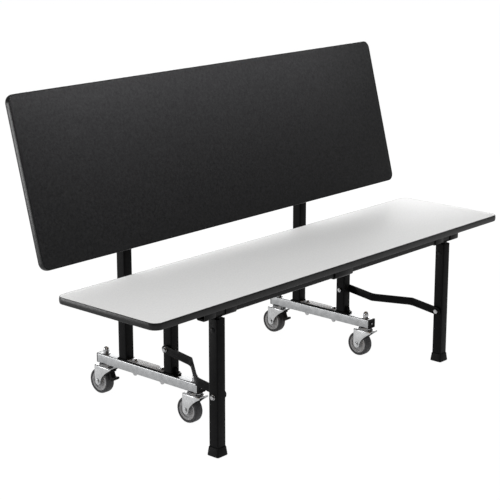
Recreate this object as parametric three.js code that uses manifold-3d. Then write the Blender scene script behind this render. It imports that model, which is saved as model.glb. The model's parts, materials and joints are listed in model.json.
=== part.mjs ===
// Convertible bench table on casters: a bench seat, and a tabletop that tilts up behind it as a backrest.
// Millimetres, +X along the bench, +Y towards the back, +Z up from the floor.
// In the drawing y is measured from the front edge of the seat; the finished group is centred on its depth.

import * as THREE from 'three';
import { mergeVertices } from 'three/addons/utils/BufferGeometryUtils.js';
import Module from 'manifold-3d';

const wasm = await Module();
wasm.setup();

// Clearances
const bondGap = 0.3;
const runningGap = 0.4;
const earGap = 0.8;
const weldDepth = 1;
const cutOvershoot = 1;
const vertexTolerance = 1e-4;
const leastRadius = 0.5;

// Boards of the seat and the tabletop
const boardThickness = 18;
const laminateThickness = 0.7;
const edgingWidth = 3;
const seatLength = 1524;
const seatDepth = 362;
const seatHeight = 428;
const seatCornerRadius = 22;
const topLength = 1518;
const topWidth = 461;
const topCornerRadius = 20;
const tableHeight = 736.2;
const backrestLean = 14.75;
const topPostClearance = 0.77;

// Square tube of the legs and posts
const tubeSize = 31.75;
const tubeWall = 2;
const tubeCornerRadius = 3.5;
const legInset = 253;
const legSetback = 32.4;
const postInset = 375;
const seatOverhang = 41.3;
const postSpacing = 181.6;
const frontPostTopMargin = 9;
const rearPostTopMargin = 6.5;

// Boots on the legs
const bootHeight = 25;
const bootFloor = 6;
const bootWall = 1.2;
const bootFlare = 2.8;

// Seat hinge and the folding legs
const seatHingeDrop = 23;
const legPinDrop = 37.5;
const legTopGap = 4.8;
const linkSpacing = 184;
const linkWidth = 24;
const linkThickness = 5;
const linkPostGap = 3.75;
const linkLegGap = 2.15;
const linkBendFromPost = 100;
const linkBendFromLeg = 95;
const linkEndLand = 0.01;

// Brackets of plate
const plateThickness = 3;
const hingePlateLength = 70;
const hingePlateDepth = 60;
const hingeEarWidth = 28;
const hingePinRadius = 4;
const hingePinHeadRadius = 7.5;
const legPinRadius = 4;
const legPinHeadRadius = 7;
const pinHeadHeight = 3;
const tongueThickness = 8;
const tongueGap = 1.25;

// Stiffener tube under the front of the seat
const stiffenerDepth = 25;
const stiffenerHeight = 23;
const stiffenerWall = 1.6;
const stiffenerCornerRadius = 3.5;
const stiffenerEndInset = 3;
const legBracketLength = 120;
const legBracketWall = 2.5;
const legBracketFlange = 22;
const legBracketNotch = 38;
const legBracketLip = 3;
const saddleLength = 80;
const saddleWall = 4;
const saddleFlange = 18;

// Bolts
const boltRadius = 4;
const boltHeadRadius = 7.5;
const boltHeadHeight = 6;
const boltNutHeight = 5.6;
const boltEnd = 1.4;
const boltCollarRadius = 8;
const pivotBoltRadius = 4;
const pivotBoltHeadRadius = 9;

// Caster rails and the feet of the posts
const railFrontReach = 116.2;
const railLength = 406;
const railWidth = 32;
const railHeight = 28.5;
const railWall = 2;
const railCornerRadius = 3;
const capFlange = 3;
const capPlugLength = 12;
const capHoleRadius = 3;
const footThickness = 5;
const frontFootHeel = 26.5;
const rearFootHeel = 23;
const footBoltOffset = 36;
const footNutRadius = 8;
const footNutTipRadius = 3.2;
const footNutHeight = 12;
const gussetThickness = 8;
const gussetHeight = 19;
const gussetToeHeight = 13;

// Casters
const swivelInset = 24.5;
const casterTrail = 21;
const wheelDiameter = 76;
const wheelWidth = 28;
const tyreThickness = 9;
const tyreShoulder = 3;
const hubWebInset = 6;
const rimThickness = 4.5;
const rimInset = 1;
const wheelFacets = 16;
const rodFacets = 8;
const nutFacets = 6;
const raceFacets = 12;
const domeRings = 6;
const knobLobeFacets = 4;
const wheelHeadroom = 8.9;
const wheelSideGap = 1.8;
const forkPlate = 3;
const forkFront = 32;
const forkRear = 12;
const forkThroatHeight = 59;
const axleRadius = 4;
const axleBossRadius = 11;
const axleHeadRadius = 7;
const axleHeadHeight = 4;
const raceRadius = 24;
const raceTopRadius = 19;
const raceHeight = 8;
const stemRadius = 6;
const kingpinHeadRadius = 9;
const kingpinHeadHeight = 2.5;
const capNutRadius = 9.5;
const capNutHexHeight = 11;
const capNutDomeRadius = 8.2;
const capNutDomeHeight = 11;
const pedalPivotForward = 20;
const pedalPivotDrop = 10;
const pedalPinRadius = 2;
const pedalHubRadius = 4.5;
const pedalReach = 9;
const pedalFall = 28;
const pedalToe = 15;
const pedalToeRise = 8;
const pedalToeHeight = 6;
const pedalToeRoot = 0.6;
const pedalThickness = 5;
const pedalWidth = 18;

// Tilt brackets under the tabletop and their lock knobs
const tiltPlateLength = 90;
const tiltPlateDepth = 180;
const tiltEarFront = 60;
const tiltEarBack = 22;
const lockRadius = 45;
const slotMargin = 8;
const knobStudRadius = 4;
const knobStudReach = 6;
const knobWasherRadius = 11;
const knobWasherHeight = 3;
const knobRadius = 18;
const knobLobe = 3;
const knobLobes = 5;
const knobHeight = 16;

// Sizes that follow from those above
const degree = Math.PI / 180;
const panelThickness = boardThickness + bondGap + laminateThickness;
const tubeHalf = tubeSize / 2;
const frontPostSetback = seatDepth - seatOverhang;
const rearPostSetback = frontPostSetback + postSpacing;
const seatUnderside = seatHeight - panelThickness;
const seatHingeHeight = seatUnderside - seatHingeDrop;
const legPinHeight = seatHingeHeight - legPinDrop;
const linkPostHeight = seatHingeHeight - linkSpacing;
const linkLegHeight = legPinHeight - linkSpacing;
const lean = backrestLean * degree;
const postCornerReach = tubeHalf * Math.cos(lean) + rearPostTopMargin * Math.sin(lean);
const topPivotDrop = postCornerReach + topPostClearance;
const topPivotHeight = tableHeight - panelThickness - topPivotDrop;
const topTravel = 90 - backrestLean;
const tongueWidth = tubeSize - 2 * (tubeWall + tongueGap);
const troughFloor = bondGap + stiffenerHeight + bondGap;
const legTop = seatUnderside - troughFloor - legBracketWall - legTopGap;
const linkPostOffset = tubeHalf + linkPostGap + linkThickness / 2;
const linkLegOffset = tubeHalf + linkLegGap + linkThickness / 2;
const bootTopWidth = tubeSize + 2 * (bondGap + bootWall);
const bootSoleWidth = bootTopWidth + 2 * bootFlare;
const legX = seatLength / 2 - legInset;
const postX = seatLength / 2 - postInset;
const wheelRadius = wheelDiameter / 2;
const crownUnderside = wheelDiameter + wheelHeadroom;
const raceUnderside = crownUnderside + forkPlate + bondGap;
const railUnderside = raceUnderside + raceHeight + bondGap;
const railTop = railUnderside + railHeight;
const footTop = railTop + bondGap + footThickness;
const footToe = (postSpacing - bondGap) / 2;
const railFrontSetback = frontPostSetback - railFrontReach;
const railRearSetback = railFrontSetback + railLength;
const frontSwivelSetback = railFrontSetback + swivelInset;
const rearSwivelSetback = railRearSetback - swivelInset;
const bracketInnerDepth = stiffenerDepth + 2 * bondGap;
const frontReach = edgingWidth + bondGap;
const rearReach = rearSwivelSetback + casterTrail + wheelRadius;
const depthCentre = (rearReach - frontReach) / 2;

// Finishes
const finishes = {
  seatLaminate: { color: 0xd6d6d4, roughness: 0.45, metalness: 0 },
  topLaminate: { color: 0x2e2e30, roughness: 0.55, metalness: 0 },
  board: { color: 0xb99b72, roughness: 0.85, metalness: 0 },
  edging: { color: 0x161617, roughness: 0.4, metalness: 0 },
  blackPaint: { color: 0x121213, roughness: 0.45, metalness: 0.2 },
  blackPlastic: { color: 0x141414, roughness: 0.6, metalness: 0 },
  zinc: { color: 0xbfc1c3, roughness: 0.35, metalness: 0.9 },
  greyPlastic: { color: 0x77787a, roughness: 0.55, metalness: 0 },
  tyre: { color: 0x2b2b2d, roughness: 0.8, metalness: 0 },
};
const materials = {};
for (const [name, values] of Object.entries(finishes)) {
  materials[name] = new THREE.MeshStandardMaterial(values);
}

// Axis frames for shapes that are drawn flat and then stood up
const axisX = new THREE.Vector3(1, 0, 0);
const axisY = new THREE.Vector3(0, 1, 0);
const axisZ = new THREE.Vector3(0, 0, 1);
const standAlongX = new THREE.Matrix4().makeBasis(axisY, axisZ, axisX);

// A closed geometry as a solid that can be joined and cut.
function solid(geometry) {
  const bare = geometry.clone();
  bare.deleteAttribute('normal');
  bare.deleteAttribute('uv');
  const welded = mergeVertices(bare, vertexTolerance);
  const vertProperties = Float32Array.from(welded.attributes.position.array);
  const triVerts = Uint32Array.from(welded.index.array);
  return new wasm.Manifold(new wasm.Mesh({ numProp: 3, vertProperties, triVerts }));
}

// The first geometry joined with the rest of the list.
function join(geometries) {
  return geometries.map(solid).reduce((whole, piece) => whole.add(piece));
}

// A solid with each geometry of the list cut away.
function cut(body, geometries) {
  return geometries.map(solid).reduce((whole, piece) => whole.subtract(piece), body);
}

function addMesh(parent, name, shape, material) {
  let geometry = shape;
  if (!shape.isBufferGeometry) {
    const mesh = shape.getMesh();
    geometry = new THREE.BufferGeometry();
    geometry.setAttribute('position', new THREE.BufferAttribute(mesh.vertProperties, 3));
    geometry.setIndex(new THREE.BufferAttribute(mesh.triVerts, 1));
    geometry.computeVertexNormals();
  }
  const mesh = new THREE.Mesh(geometry, material);
  mesh.name = name;
  parent.add(mesh);
  return mesh;
}

function addGroup(parent, x, y, z) {
  const group = new THREE.Group();
  group.position.set(x, y, z);
  parent.add(group);
  return group;
}

// Rectangle with round corners, centred on the drawing's origin.
function roundedRectangle(width, height, radius, Kind = THREE.Shape) {
  const x = width / 2 - radius;
  const y = height / 2 - radius;
  const outline = new Kind();
  outline.absarc(x, y, radius, 0, Math.PI / 2);
  outline.absarc(-x, y, radius, Math.PI / 2, Math.PI);
  outline.absarc(-x, -y, radius, Math.PI, 1.5 * Math.PI);
  outline.absarc(x, -y, radius, 1.5 * Math.PI, 2 * Math.PI);
  return outline;
}

// A section of tube with an even wall.
function tubeSection(width, height, radius, wall) {
  const section = roundedRectangle(width, height, radius);
  const boreRadius = Math.max(radius - wall, leastRadius);
  section.holes.push(roundedRectangle(width - 2 * wall, height - 2 * wall, boreRadius, THREE.Path));
  return section;
}

function prism(shape, depth, curveSegments = 1) {
  return new THREE.ExtrudeGeometry(shape, { depth, bevelEnabled: false, curveSegments });
}

// A shape drawn in y and z, given a thickness along x and centred on x.
function sidePlate(shape, thickness, x = 0, curveSegments = 2) {
  const plate = prism(shape, thickness, curveSegments).translate(0, 0, -thickness / 2);
  return plate.applyMatrix4(standAlongX).translate(x, 0, 0);
}

// A box given by its lowest and highest corners.
function block(low, high) {
  const size = high.map((value, axis) => value - low[axis]);
  const centre = high.map((value, axis) => (value + low[axis]) / 2);
  return new THREE.BoxGeometry(...size).translate(...centre);
}

function rodAlongX(radius, from, to, facets = rodFacets) {
  const rod = new THREE.CylinderGeometry(radius, radius, Math.abs(to - from), facets);
  return rod.rotateZ(Math.PI / 2).translate((from + to) / 2, 0, 0);
}

function rodUp(radius, from, to, facets = rodFacets, topRadius = radius) {
  const rod = new THREE.CylinderGeometry(topRadius, radius, to - from, facets);
  return rod.rotateX(Math.PI / 2).translate(0, 0, (from + to) / 2);
}

// A turning pin's hole reaches out at its corners, so that its flats clear the pin all round.
const boreReach = 1 / Math.cos(Math.PI / rodFacets);

function boreAlongX(pinRadius, from, to) {
  return rodAlongX((pinRadius + runningGap) * boreReach, from, to);
}

// Square tube standing up from one height to another.
function standingTube(from, to) {
  return prism(tubeSection(tubeSize, tubeSize, tubeCornerRadius, tubeWall), to - from).translate(0, 0, from);
}

// Ear drawn in y and z: straight sides from the given height down to a round end about the origin.
function earShape(width, height) {
  const ear = new THREE.Shape();
  ear.moveTo(width / 2, height);
  ear.lineTo(-width / 2, height);
  ear.absarc(0, 0, width / 2, Math.PI, 2 * Math.PI);
  return ear;
}

// Bolt along x with its head towards the given side, a nut at the other end and collars between plates.
function crossBolt(side, radius, headRadius, grip, collars = []) {
  const pieces = [
    rodAlongX(radius, side * (grip.head + weldDepth), -side * (grip.nut + boltNutHeight + boltEnd)),
    rodAlongX(headRadius, side * grip.head, side * (grip.head + boltHeadHeight)),
    rodAlongX(headRadius, -side * grip.nut, -side * (grip.nut + boltNutHeight), nutFacets),
  ];
  for (const [from, to] of collars) {
    pieces.push(rodAlongX(boltCollarRadius, side * from, side * to));
  }
  return join(pieces);
}

const bench = new THREE.Group();
const drawing = addGroup(bench, 0, -depthCentre, 0);
const sides = { left: -1, right: 1 };

const panelCurve = 2;

// Board with laminate bonded on top and edging pressed round it; z is 0 at the board's underside.
function addPanel(parent, name, length, width, radius, laminate) {
  const outline = roundedRectangle(length, width, radius);
  addMesh(parent, `${name}_board`, prism(outline, boardThickness, panelCurve), materials.board);
  const sheet = prism(outline, laminateThickness, panelCurve).translate(0, 0, boardThickness + bondGap);
  addMesh(parent, `${name}_laminate`, sheet, laminate);
  const reach = bondGap + edgingWidth;
  const band = roundedRectangle(length + 2 * reach, width + 2 * reach, radius + reach);
  band.holes.push(roundedRectangle(length + 2 * bondGap, width + 2 * bondGap, radius + bondGap, THREE.Path));
  addMesh(parent, `${name}_edging`, prism(band, panelThickness, panelCurve), materials.edging);
}

// Seat, with the stiffener tube, leg brackets and hinges under it; z is 0 at the seat's underside.
const seat = addGroup(drawing, 0, 0, seatUnderside);
const seatPanel = addGroup(seat, 0, seatDepth / 2, 0);
addPanel(seatPanel, 'seat', seatLength, seatDepth, seatCornerRadius, materials.seatLaminate);

const stiffenerLength = 2 * (legX + legBracketLength / 2 - stiffenerEndInset);
const stiffenerSection = tubeSection(stiffenerDepth, stiffenerHeight, stiffenerCornerRadius, stiffenerWall);
const stiffener = sidePlate(stiffenerSection, stiffenerLength, 0, 1);
stiffener.translate(0, legSetback, -bondGap - stiffenerHeight / 2);
addMesh(seat, 'seat_stiffener_tube', stiffener, materials.blackPaint);

// Trough of bent plate round the stiffener tube, with a flange against the board at the back.
function trough(length, wall, flange) {
  const inner = bracketInnerDepth / 2;
  const outer = inner + wall;
  const floor = -troughFloor;
  const innerRadius = stiffenerCornerRadius;
  const outerRadius = innerRadius + wall;
  const profile = new THREE.Shape();
  profile.moveTo(-outer, -bondGap);
  profile.absarc(-outer + outerRadius, floor - wall + outerRadius, outerRadius, Math.PI, 1.5 * Math.PI);
  profile.absarc(outer - outerRadius, floor - wall + outerRadius, outerRadius, 1.5 * Math.PI, 2 * Math.PI);
  profile.lineTo(outer, -bondGap - wall);
  profile.lineTo(outer + flange, -bondGap - wall);
  profile.lineTo(outer + flange, -bondGap);
  profile.lineTo(inner, -bondGap);
  profile.absarc(inner - innerRadius, floor + innerRadius, innerRadius, 2 * Math.PI, 1.5 * Math.PI, true);
  profile.absarc(-inner + innerRadius, floor + innerRadius, innerRadius, 1.5 * Math.PI, Math.PI, true);
  profile.lineTo(-inner, -bondGap);
  return sidePlate(profile, length, 0, 1);
}

const saddle = trough(saddleLength, saddleWall, saddleFlange).translate(0, legSetback, 0);
addMesh(seat, 'stiffener_saddle', saddle, materials.blackPaint);

// Leg bracket: a trough with a notch over the leg, and a tongue that carries the leg's pin.
function legBracket() {
  const body = trough(legBracketLength, legBracketWall, legBracketFlange);
  const pinDrop = seatHingeDrop + legPinDrop;
  const tongue = sidePlate(earShape(tongueWidth, pinDrop - troughFloor - weldDepth), tongueThickness);
  const pinSpan = tubeHalf + runningGap;
  const pin = [
    rodAlongX(legPinRadius, -pinSpan - weldDepth, pinSpan + weldDepth),
    rodAlongX(legPinHeadRadius, -pinSpan - pinHeadHeight, -pinSpan),
    rodAlongX(legPinHeadRadius, pinSpan, pinSpan + pinHeadHeight),
  ];
  for (const piece of [tongue, ...pin]) {
    piece.translate(0, 0, -pinDrop);
  }
  const front = -bracketInnerDepth / 2 - legBracketWall;
  const notch = block(
    [-legBracketNotch / 2, front - weldDepth, -troughFloor],
    [legBracketNotch / 2, front + legBracketWall + bondGap / 2, -bondGap - legBracketLip],
  );
  return cut(join([body, tongue, ...pin]), [notch]);
}

// Seat hinge: a plate under the board with an ear on each side of the front post and a pin through them.
function seatHinge() {
  const earX = tubeHalf + earGap + plateThickness / 2;
  const ear = earShape(hingeEarWidth, seatHingeDrop - bondGap - weldDepth);
  const pinSpan = earX + plateThickness / 2;
  const pieces = [
    sidePlate(ear, plateThickness, -earX),
    sidePlate(ear, plateThickness, earX),
    rodAlongX(hingePinRadius, -pinSpan - weldDepth, pinSpan + weldDepth),
    rodAlongX(hingePinHeadRadius, -pinSpan - pinHeadHeight, weldDepth - pinSpan),
    rodAlongX(hingePinHeadRadius, pinSpan - weldDepth, pinSpan + pinHeadHeight),
  ];
  for (const piece of pieces) {
    piece.translate(0, 0, -seatHingeDrop);
  }
  const plate = block(
    [-hingePlateLength / 2, -hingePlateDepth / 2, -bondGap - plateThickness],
    [hingePlateLength / 2, hingePlateDepth / 2, -bondGap],
  );
  return join([plate, ...pieces]);
}

for (const [side, sign] of Object.entries(sides)) {
  const bracket = addGroup(seat, sign * legX, legSetback, 0);
  addMesh(bracket, `leg_bracket_${side}`, legBracket(), materials.blackPaint);
  const hinge = addGroup(seat, sign * postX, frontPostSetback, 0);
  addMesh(hinge, `seat_hinge_${side}`, seatHinge(), materials.blackPaint);
}

// Leg: square tube slotted at the back of its top end, so that the bracket's tongue can swing out.
function legTube() {
  const slotWidth = tongueThickness + 2 * earGap;
  const slot = block(
    [-slotWidth / 2, 0, legPinHeight - tongueWidth / 2 - earGap],
    [slotWidth / 2, tubeSize, legTop + cutOvershoot],
  );
  const pinHole = boreAlongX(legPinRadius, -tubeSize, tubeSize).translate(0, 0, legPinHeight);
  const boltHole = rodAlongX(boltRadius + bondGap, -tubeSize, tubeSize).translate(0, 0, linkLegHeight);
  return cut(solid(standingTube(bootFloor + bondGap, legTop)), [slot, pinHole, boltHole]);
}

// Boot: a flared square cup on the foot of the leg.
function boot() {
  const corner = Math.SQRT1_2;
  const flare = new THREE.CylinderGeometry(bootTopWidth * corner, bootSoleWidth * corner, bootHeight, 4);
  flare.rotateY(Math.PI / 4).rotateX(Math.PI / 2).translate(0, 0, bootHeight / 2);
  const socketWidth = tubeSize + 2 * bondGap;
  const socket = prism(roundedRectangle(socketWidth, socketWidth, tubeCornerRadius), bootHeight);
  return cut(solid(flare), [socket.translate(0, 0, bootFloor)]);
}

for (const [side, sign] of Object.entries(sides)) {
  const leg = addGroup(drawing, sign * legX, legSetback, 0);
  addMesh(leg, `leg_${side}`, legTube(), materials.blackPaint);
  addMesh(leg, `boot_${side}`, boot(), materials.blackPlastic);
  const half = tubeHalf + bondGap;
  const linkFace = linkLegOffset + linkThickness / 2 + bondGap;
  const collar = [-half, -linkLegOffset + linkThickness / 2 + bondGap];
  const bolt = crossBolt(sign, boltRadius, boltHeadRadius, { head: half, nut: linkFace }, [collar]);
  addMesh(addGroup(leg, 0, 0, linkLegHeight), `link_leg_bolt_${side}`, bolt, materials.zinc);
}

// Outline of a bent strip: its centre line offset to both sides, with mitred bends.
function stripShape(points, thickness) {
  const half = thickness / 2;
  const offset = (sign) => points.map((point, index) => {
    const before = points[Math.max(index - 1, 0)];
    const after = points[Math.min(index + 1, points.length - 1)];
    const start = index > 0 ? point.clone().sub(before) : after.clone().sub(point);
    const incoming = start.normalize();
    const outgoing = index < points.length - 1 ? after.clone().sub(point).normalize() : incoming;
    const normalIn = new THREE.Vector2(-incoming.y, incoming.x);
    const normalOut = new THREE.Vector2(-outgoing.y, outgoing.x);
    const mitre = normalIn.clone().add(normalOut).normalize();
    return point.clone().addScaledVector(mitre, sign * half / mitre.dot(normalIn));
  });
  return new THREE.Shape([...offset(1), ...offset(-1).reverse()]);
}

// Link bar: flat bar with two bends, from the outer side of the post (origin) to the inner side of the leg.
function linkBar(sign) {
  const run = frontPostSetback - legSetback;
  const length = Math.hypot(run, legPinDrop);
  const along = new THREE.Vector3(0, -run / length, -legPinDrop / length);
  const across = new THREE.Vector3().crossVectors(along, axisX);
  const postPlane = sign * linkPostOffset;
  const legPlane = sign * (legX - linkLegOffset - postX);
  const end = linkWidth / 2;
  const centreLine = [
    new THREE.Vector2(-end, postPlane),
    new THREE.Vector2(linkBendFromPost, postPlane),
    new THREE.Vector2(length - linkBendFromLeg, legPlane),
    new THREE.Vector2(length + end, legPlane),
  ];
  const strip = prism(stripShape(centreLine, linkThickness), linkWidth).translate(0, 0, -linkWidth / 2);
  strip.applyMatrix4(new THREE.Matrix4().makeBasis(along, axisX, across));
  const face = roundedRectangle(length + linkWidth, linkWidth, linkWidth / 2 - linkEndLand);
  const reach = 2 * (Math.abs(legPlane) + linkThickness);
  const ends = prism(face, reach, 2).translate(length / 2, 0, -reach / 2);
  ends.applyMatrix4(new THREE.Matrix4().makeBasis(along, across, axisX.clone().negate()));
  const postHole = boreAlongX(boltRadius, -reach, reach);
  const legHole = boreAlongX(boltRadius, -reach, reach).translate(0, -run, -legPinDrop);
  return cut(solid(strip).intersect(solid(ends)), [postHole, legHole]);
}

// Carriage: a bright rail on two casters, with a front post and a rear post bolted to it.
function railTube() {
  const length = railLength - 2 * capFlange - 2 * bondGap;
  const tube = prism(tubeSection(railWidth, railHeight, railCornerRadius, railWall), length);
  const rearEnd = railRearSetback - capFlange - bondGap;
  tube.rotateX(Math.PI / 2).translate(0, rearEnd, railTop - railHeight / 2);
  const holeFrom = railUnderside - cutOvershoot;
  const holeTo = railTop + cutOvershoot;
  const holes = [];
  for (const y of [frontSwivelSetback, rearSwivelSetback]) {
    holes.push(rodUp(stemRadius + bondGap, holeFrom, holeTo).translate(0, y, 0));
  }
  for (const y of [frontPostSetback + footBoltOffset, rearPostSetback - footBoltOffset]) {
    holes.push(rodUp(boltRadius + bondGap, holeFrom, holeTo).translate(0, y, 0));
  }
  return cut(solid(tube), holes);
}

// End cap: a flange over the end of the rail and a plug inside it; facing is -1 at the front, 1 at the back.
function railCap(facing) {
  const flange = prism(roundedRectangle(railWidth, railHeight, railCornerRadius), capFlange);
  const plugFit = 2 * (railWall + bondGap);
  const plugRadius = Math.max(railCornerRadius - railWall, leastRadius);
  const plugShape = roundedRectangle(railWidth - plugFit, railHeight - plugFit, plugRadius);
  const plug = prism(plugShape, capPlugLength + weldDepth).translate(0, 0, capFlange - weldDepth);
  const hole = rodUp(capHoleRadius, -capFlange, capPlugLength + 2 * capFlange);
  const turn = facing < 0 ? -Math.PI / 2 : Math.PI / 2;
  for (const piece of [flange, plug, hole]) {
    piece.rotateX(turn);
  }
  return cut(join([flange, plug]), [hole]);
}

// Post: square tube welded to a foot plate that reaches half way to the other post.
function post(toeward, heel, top, crossHoles) {
  const footHalf = railWidth / 2;
  const ends = [toeward * footToe, -toeward * heel].sort((a, b) => a - b);
  const foot = block([-footHalf, ends[0], railTop + bondGap], [footHalf, ends[1], footTop]);
  const boltHole = rodUp(boltRadius + bondGap, railTop, footTop + cutOvershoot);
  const holes = [boltHole.translate(0, toeward * footBoltOffset, 0)];
  for (const { height, radius } of crossHoles) {
    holes.push(rodAlongX(radius, -tubeSize, tubeSize).translate(0, 0, height));
  }
  return cut(join([foot, standingTube(footTop - weldDepth, top)]), holes);
}

// Gusset between the front post and the heel of its foot plate.
function footGusset() {
  const start = weldDepth - tubeHalf;
  const gusset = new THREE.Shape();
  gusset.moveTo(start, footTop - weldDepth);
  gusset.lineTo(-frontFootHeel, footTop - weldDepth);
  gusset.lineTo(-frontFootHeel, footTop + gussetToeHeight);
  gusset.lineTo(start, footTop + gussetHeight);
  return solid(sidePlate(gusset, gussetThickness));
}

// Foot bolt: head on the foot plate, domed nut under the rail.
function footBolt() {
  const headBase = footTop + bondGap;
  const nutTop = railUnderside - bondGap;
  return join([
    rodUp(boltRadius, nutTop - weldDepth, headBase + weldDepth),
    rodUp(boltHeadRadius, headBase, headBase + boltHeadHeight, nutFacets),
    rodUp(footNutTipRadius, nutTop - footNutHeight, nutTop, rodFacets, footNutRadius),
  ]);
}

// Caster stem: cap nut on the rail, stem through it, race under it and a riveted kingpin in the fork's crown.
function casterStem() {
  const nutBase = railTop + bondGap;
  const domeBase = nutBase + capNutHexHeight;
  const dome = new THREE.SphereGeometry(capNutDomeRadius, rodFacets, domeRings);
  dome.scale(1, capNutDomeHeight / capNutDomeRadius, 1).rotateX(Math.PI / 2).translate(0, 0, domeBase);
  const headTop = crownUnderside - bondGap;
  return join([
    rodUp(stemRadius, headTop - weldDepth, domeBase),
    rodUp(capNutRadius, nutBase, domeBase, nutFacets),
    dome,
    rodUp(raceRadius, raceUnderside, raceUnderside + raceHeight, raceFacets, raceTopRadius),
    rodUp(kingpinHeadRadius, headTop - kingpinHeadHeight, headTop),
  ]);
}

// Fork: a crown under the race and two cheeks down to the axle.
// z is 0 at the floor and y is 0 at the swivel axis.
function casterFork(hasPedal) {
  const inner = wheelWidth / 2 + wheelSideGap;
  const rear = casterTrail + forkRear;
  const crownTop = crownUnderside + forkPlate;
  const cheek = new THREE.Shape();
  const throat = casterTrail - axleBossRadius;
  cheek.moveTo(rear, crownTop - weldDepth);
  cheek.lineTo(-forkFront, crownTop - weldDepth);
  cheek.lineTo(-forkFront, crownUnderside - forkPlate);
  cheek.quadraticCurveTo(throat - forkPlate, forkThroatHeight, throat, wheelRadius);
  cheek.absarc(casterTrail, wheelRadius, axleBossRadius, Math.PI, 2 * Math.PI);
  cheek.lineTo(rear, wheelRadius + axleBossRadius);
  const cheekX = inner + forkPlate / 2;
  const headFrom = inner + forkPlate - weldDepth;
  const headTo = inner + forkPlate + axleHeadHeight;
  const axle = [
    rodAlongX(axleRadius, -headFrom - weldDepth, headFrom + weldDepth),
    rodAlongX(axleHeadRadius, -headTo, -headFrom),
    rodAlongX(axleHeadRadius, headFrom, headTo),
  ];
  for (const piece of axle) {
    piece.translate(0, casterTrail, wheelRadius);
  }
  const outer = inner + forkPlate;
  const crown = block([-outer, -forkFront, crownUnderside], [outer, rear, crownTop]);
  const stemBore = (stemRadius + runningGap) * boreReach;
  const holes = [rodUp(stemBore, crownUnderside - cutOvershoot, crownTop + cutOvershoot)];
  if (hasPedal) {
    const pivot = boreAlongX(pedalPinRadius, -2 * outer, 2 * outer);
    holes.push(pivot.translate(0, -pedalPivotForward, crownUnderside - pedalPivotDrop));
  }
  const cheeks = [sidePlate(cheek, forkPlate, -cheekX), sidePlate(cheek, forkPlate, cheekX)];
  return cut(join([crown, ...cheeks, ...axle]), holes);
}

// A ring turned about the axle from a closed outline of radius and offset along the axle.
// It stands on a flat facet.
function wheelRing(outline) {
  const points = [...outline, outline[0]].map(([radius, offset]) => new THREE.Vector2(radius, offset));
  const ring = new THREE.LatheGeometry(points, wheelFacets, Math.PI / wheelFacets);
  return ring.rotateZ(-Math.PI / 2);
}

const facetReach = 1 / Math.cos(Math.PI / wheelFacets);
const rimRadius = (wheelRadius - tyreThickness) * facetReach;

function wheelHub() {
  const bore = (axleRadius + runningGap) * facetReach;
  const half = wheelWidth / 2;
  const boss = axleBossRadius;
  const outer = rimRadius - bondGap;
  const rim = outer - rimThickness;
  const web = half - hubWebInset;
  const edge = half - rimInset;
  return wheelRing([
    [bore, -half], [boss, -half], [rim, -web], [outer, -edge],
    [outer, edge], [rim, web], [boss, half], [bore, half],
  ]);
}

function tyre() {
  const tread = wheelRadius * facetReach;
  const half = wheelWidth / 2;
  const crown = half - tyreShoulder;
  const side = tread - tyreShoulder;
  return wheelRing([
    [rimRadius, rimInset - half], [side, -half], [tread, -crown],
    [tread, crown], [side, half], [rimRadius, half - rimInset],
  ]);
}

// Brake pedal: a hub on cross pins between the cheeks, and a lever down to a toe that points forward.
function brakePedal() {
  const inner = wheelWidth / 2 + wheelSideGap;
  const rise = Math.atan2(pedalFall, pedalReach);
  const back = new THREE.Vector2(Math.sin(rise), -Math.cos(rise)).multiplyScalar(pedalThickness / 2);
  const toeEnd = -pedalReach - pedalToe;
  const toeLow = pedalToeRise - pedalFall;
  const lever = new THREE.Shape();
  lever.moveTo(back.x, back.y);
  lever.lineTo(back.x - pedalReach, back.y - pedalFall);
  lever.lineTo(toeEnd, toeLow);
  lever.lineTo(toeEnd, toeLow + pedalToeHeight);
  lever.lineTo(-back.x - pedalToeRoot * pedalReach, -back.y - pedalToeRoot * pedalFall);
  lever.lineTo(-back.x, -back.y);
  return join([
    rodAlongX(pedalHubRadius, bondGap - inner, inner - bondGap),
    rodAlongX(pedalPinRadius, -inner - forkPlate, inner + forkPlate),
    sidePlate(lever, pedalWidth),
  ]);
}

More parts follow.
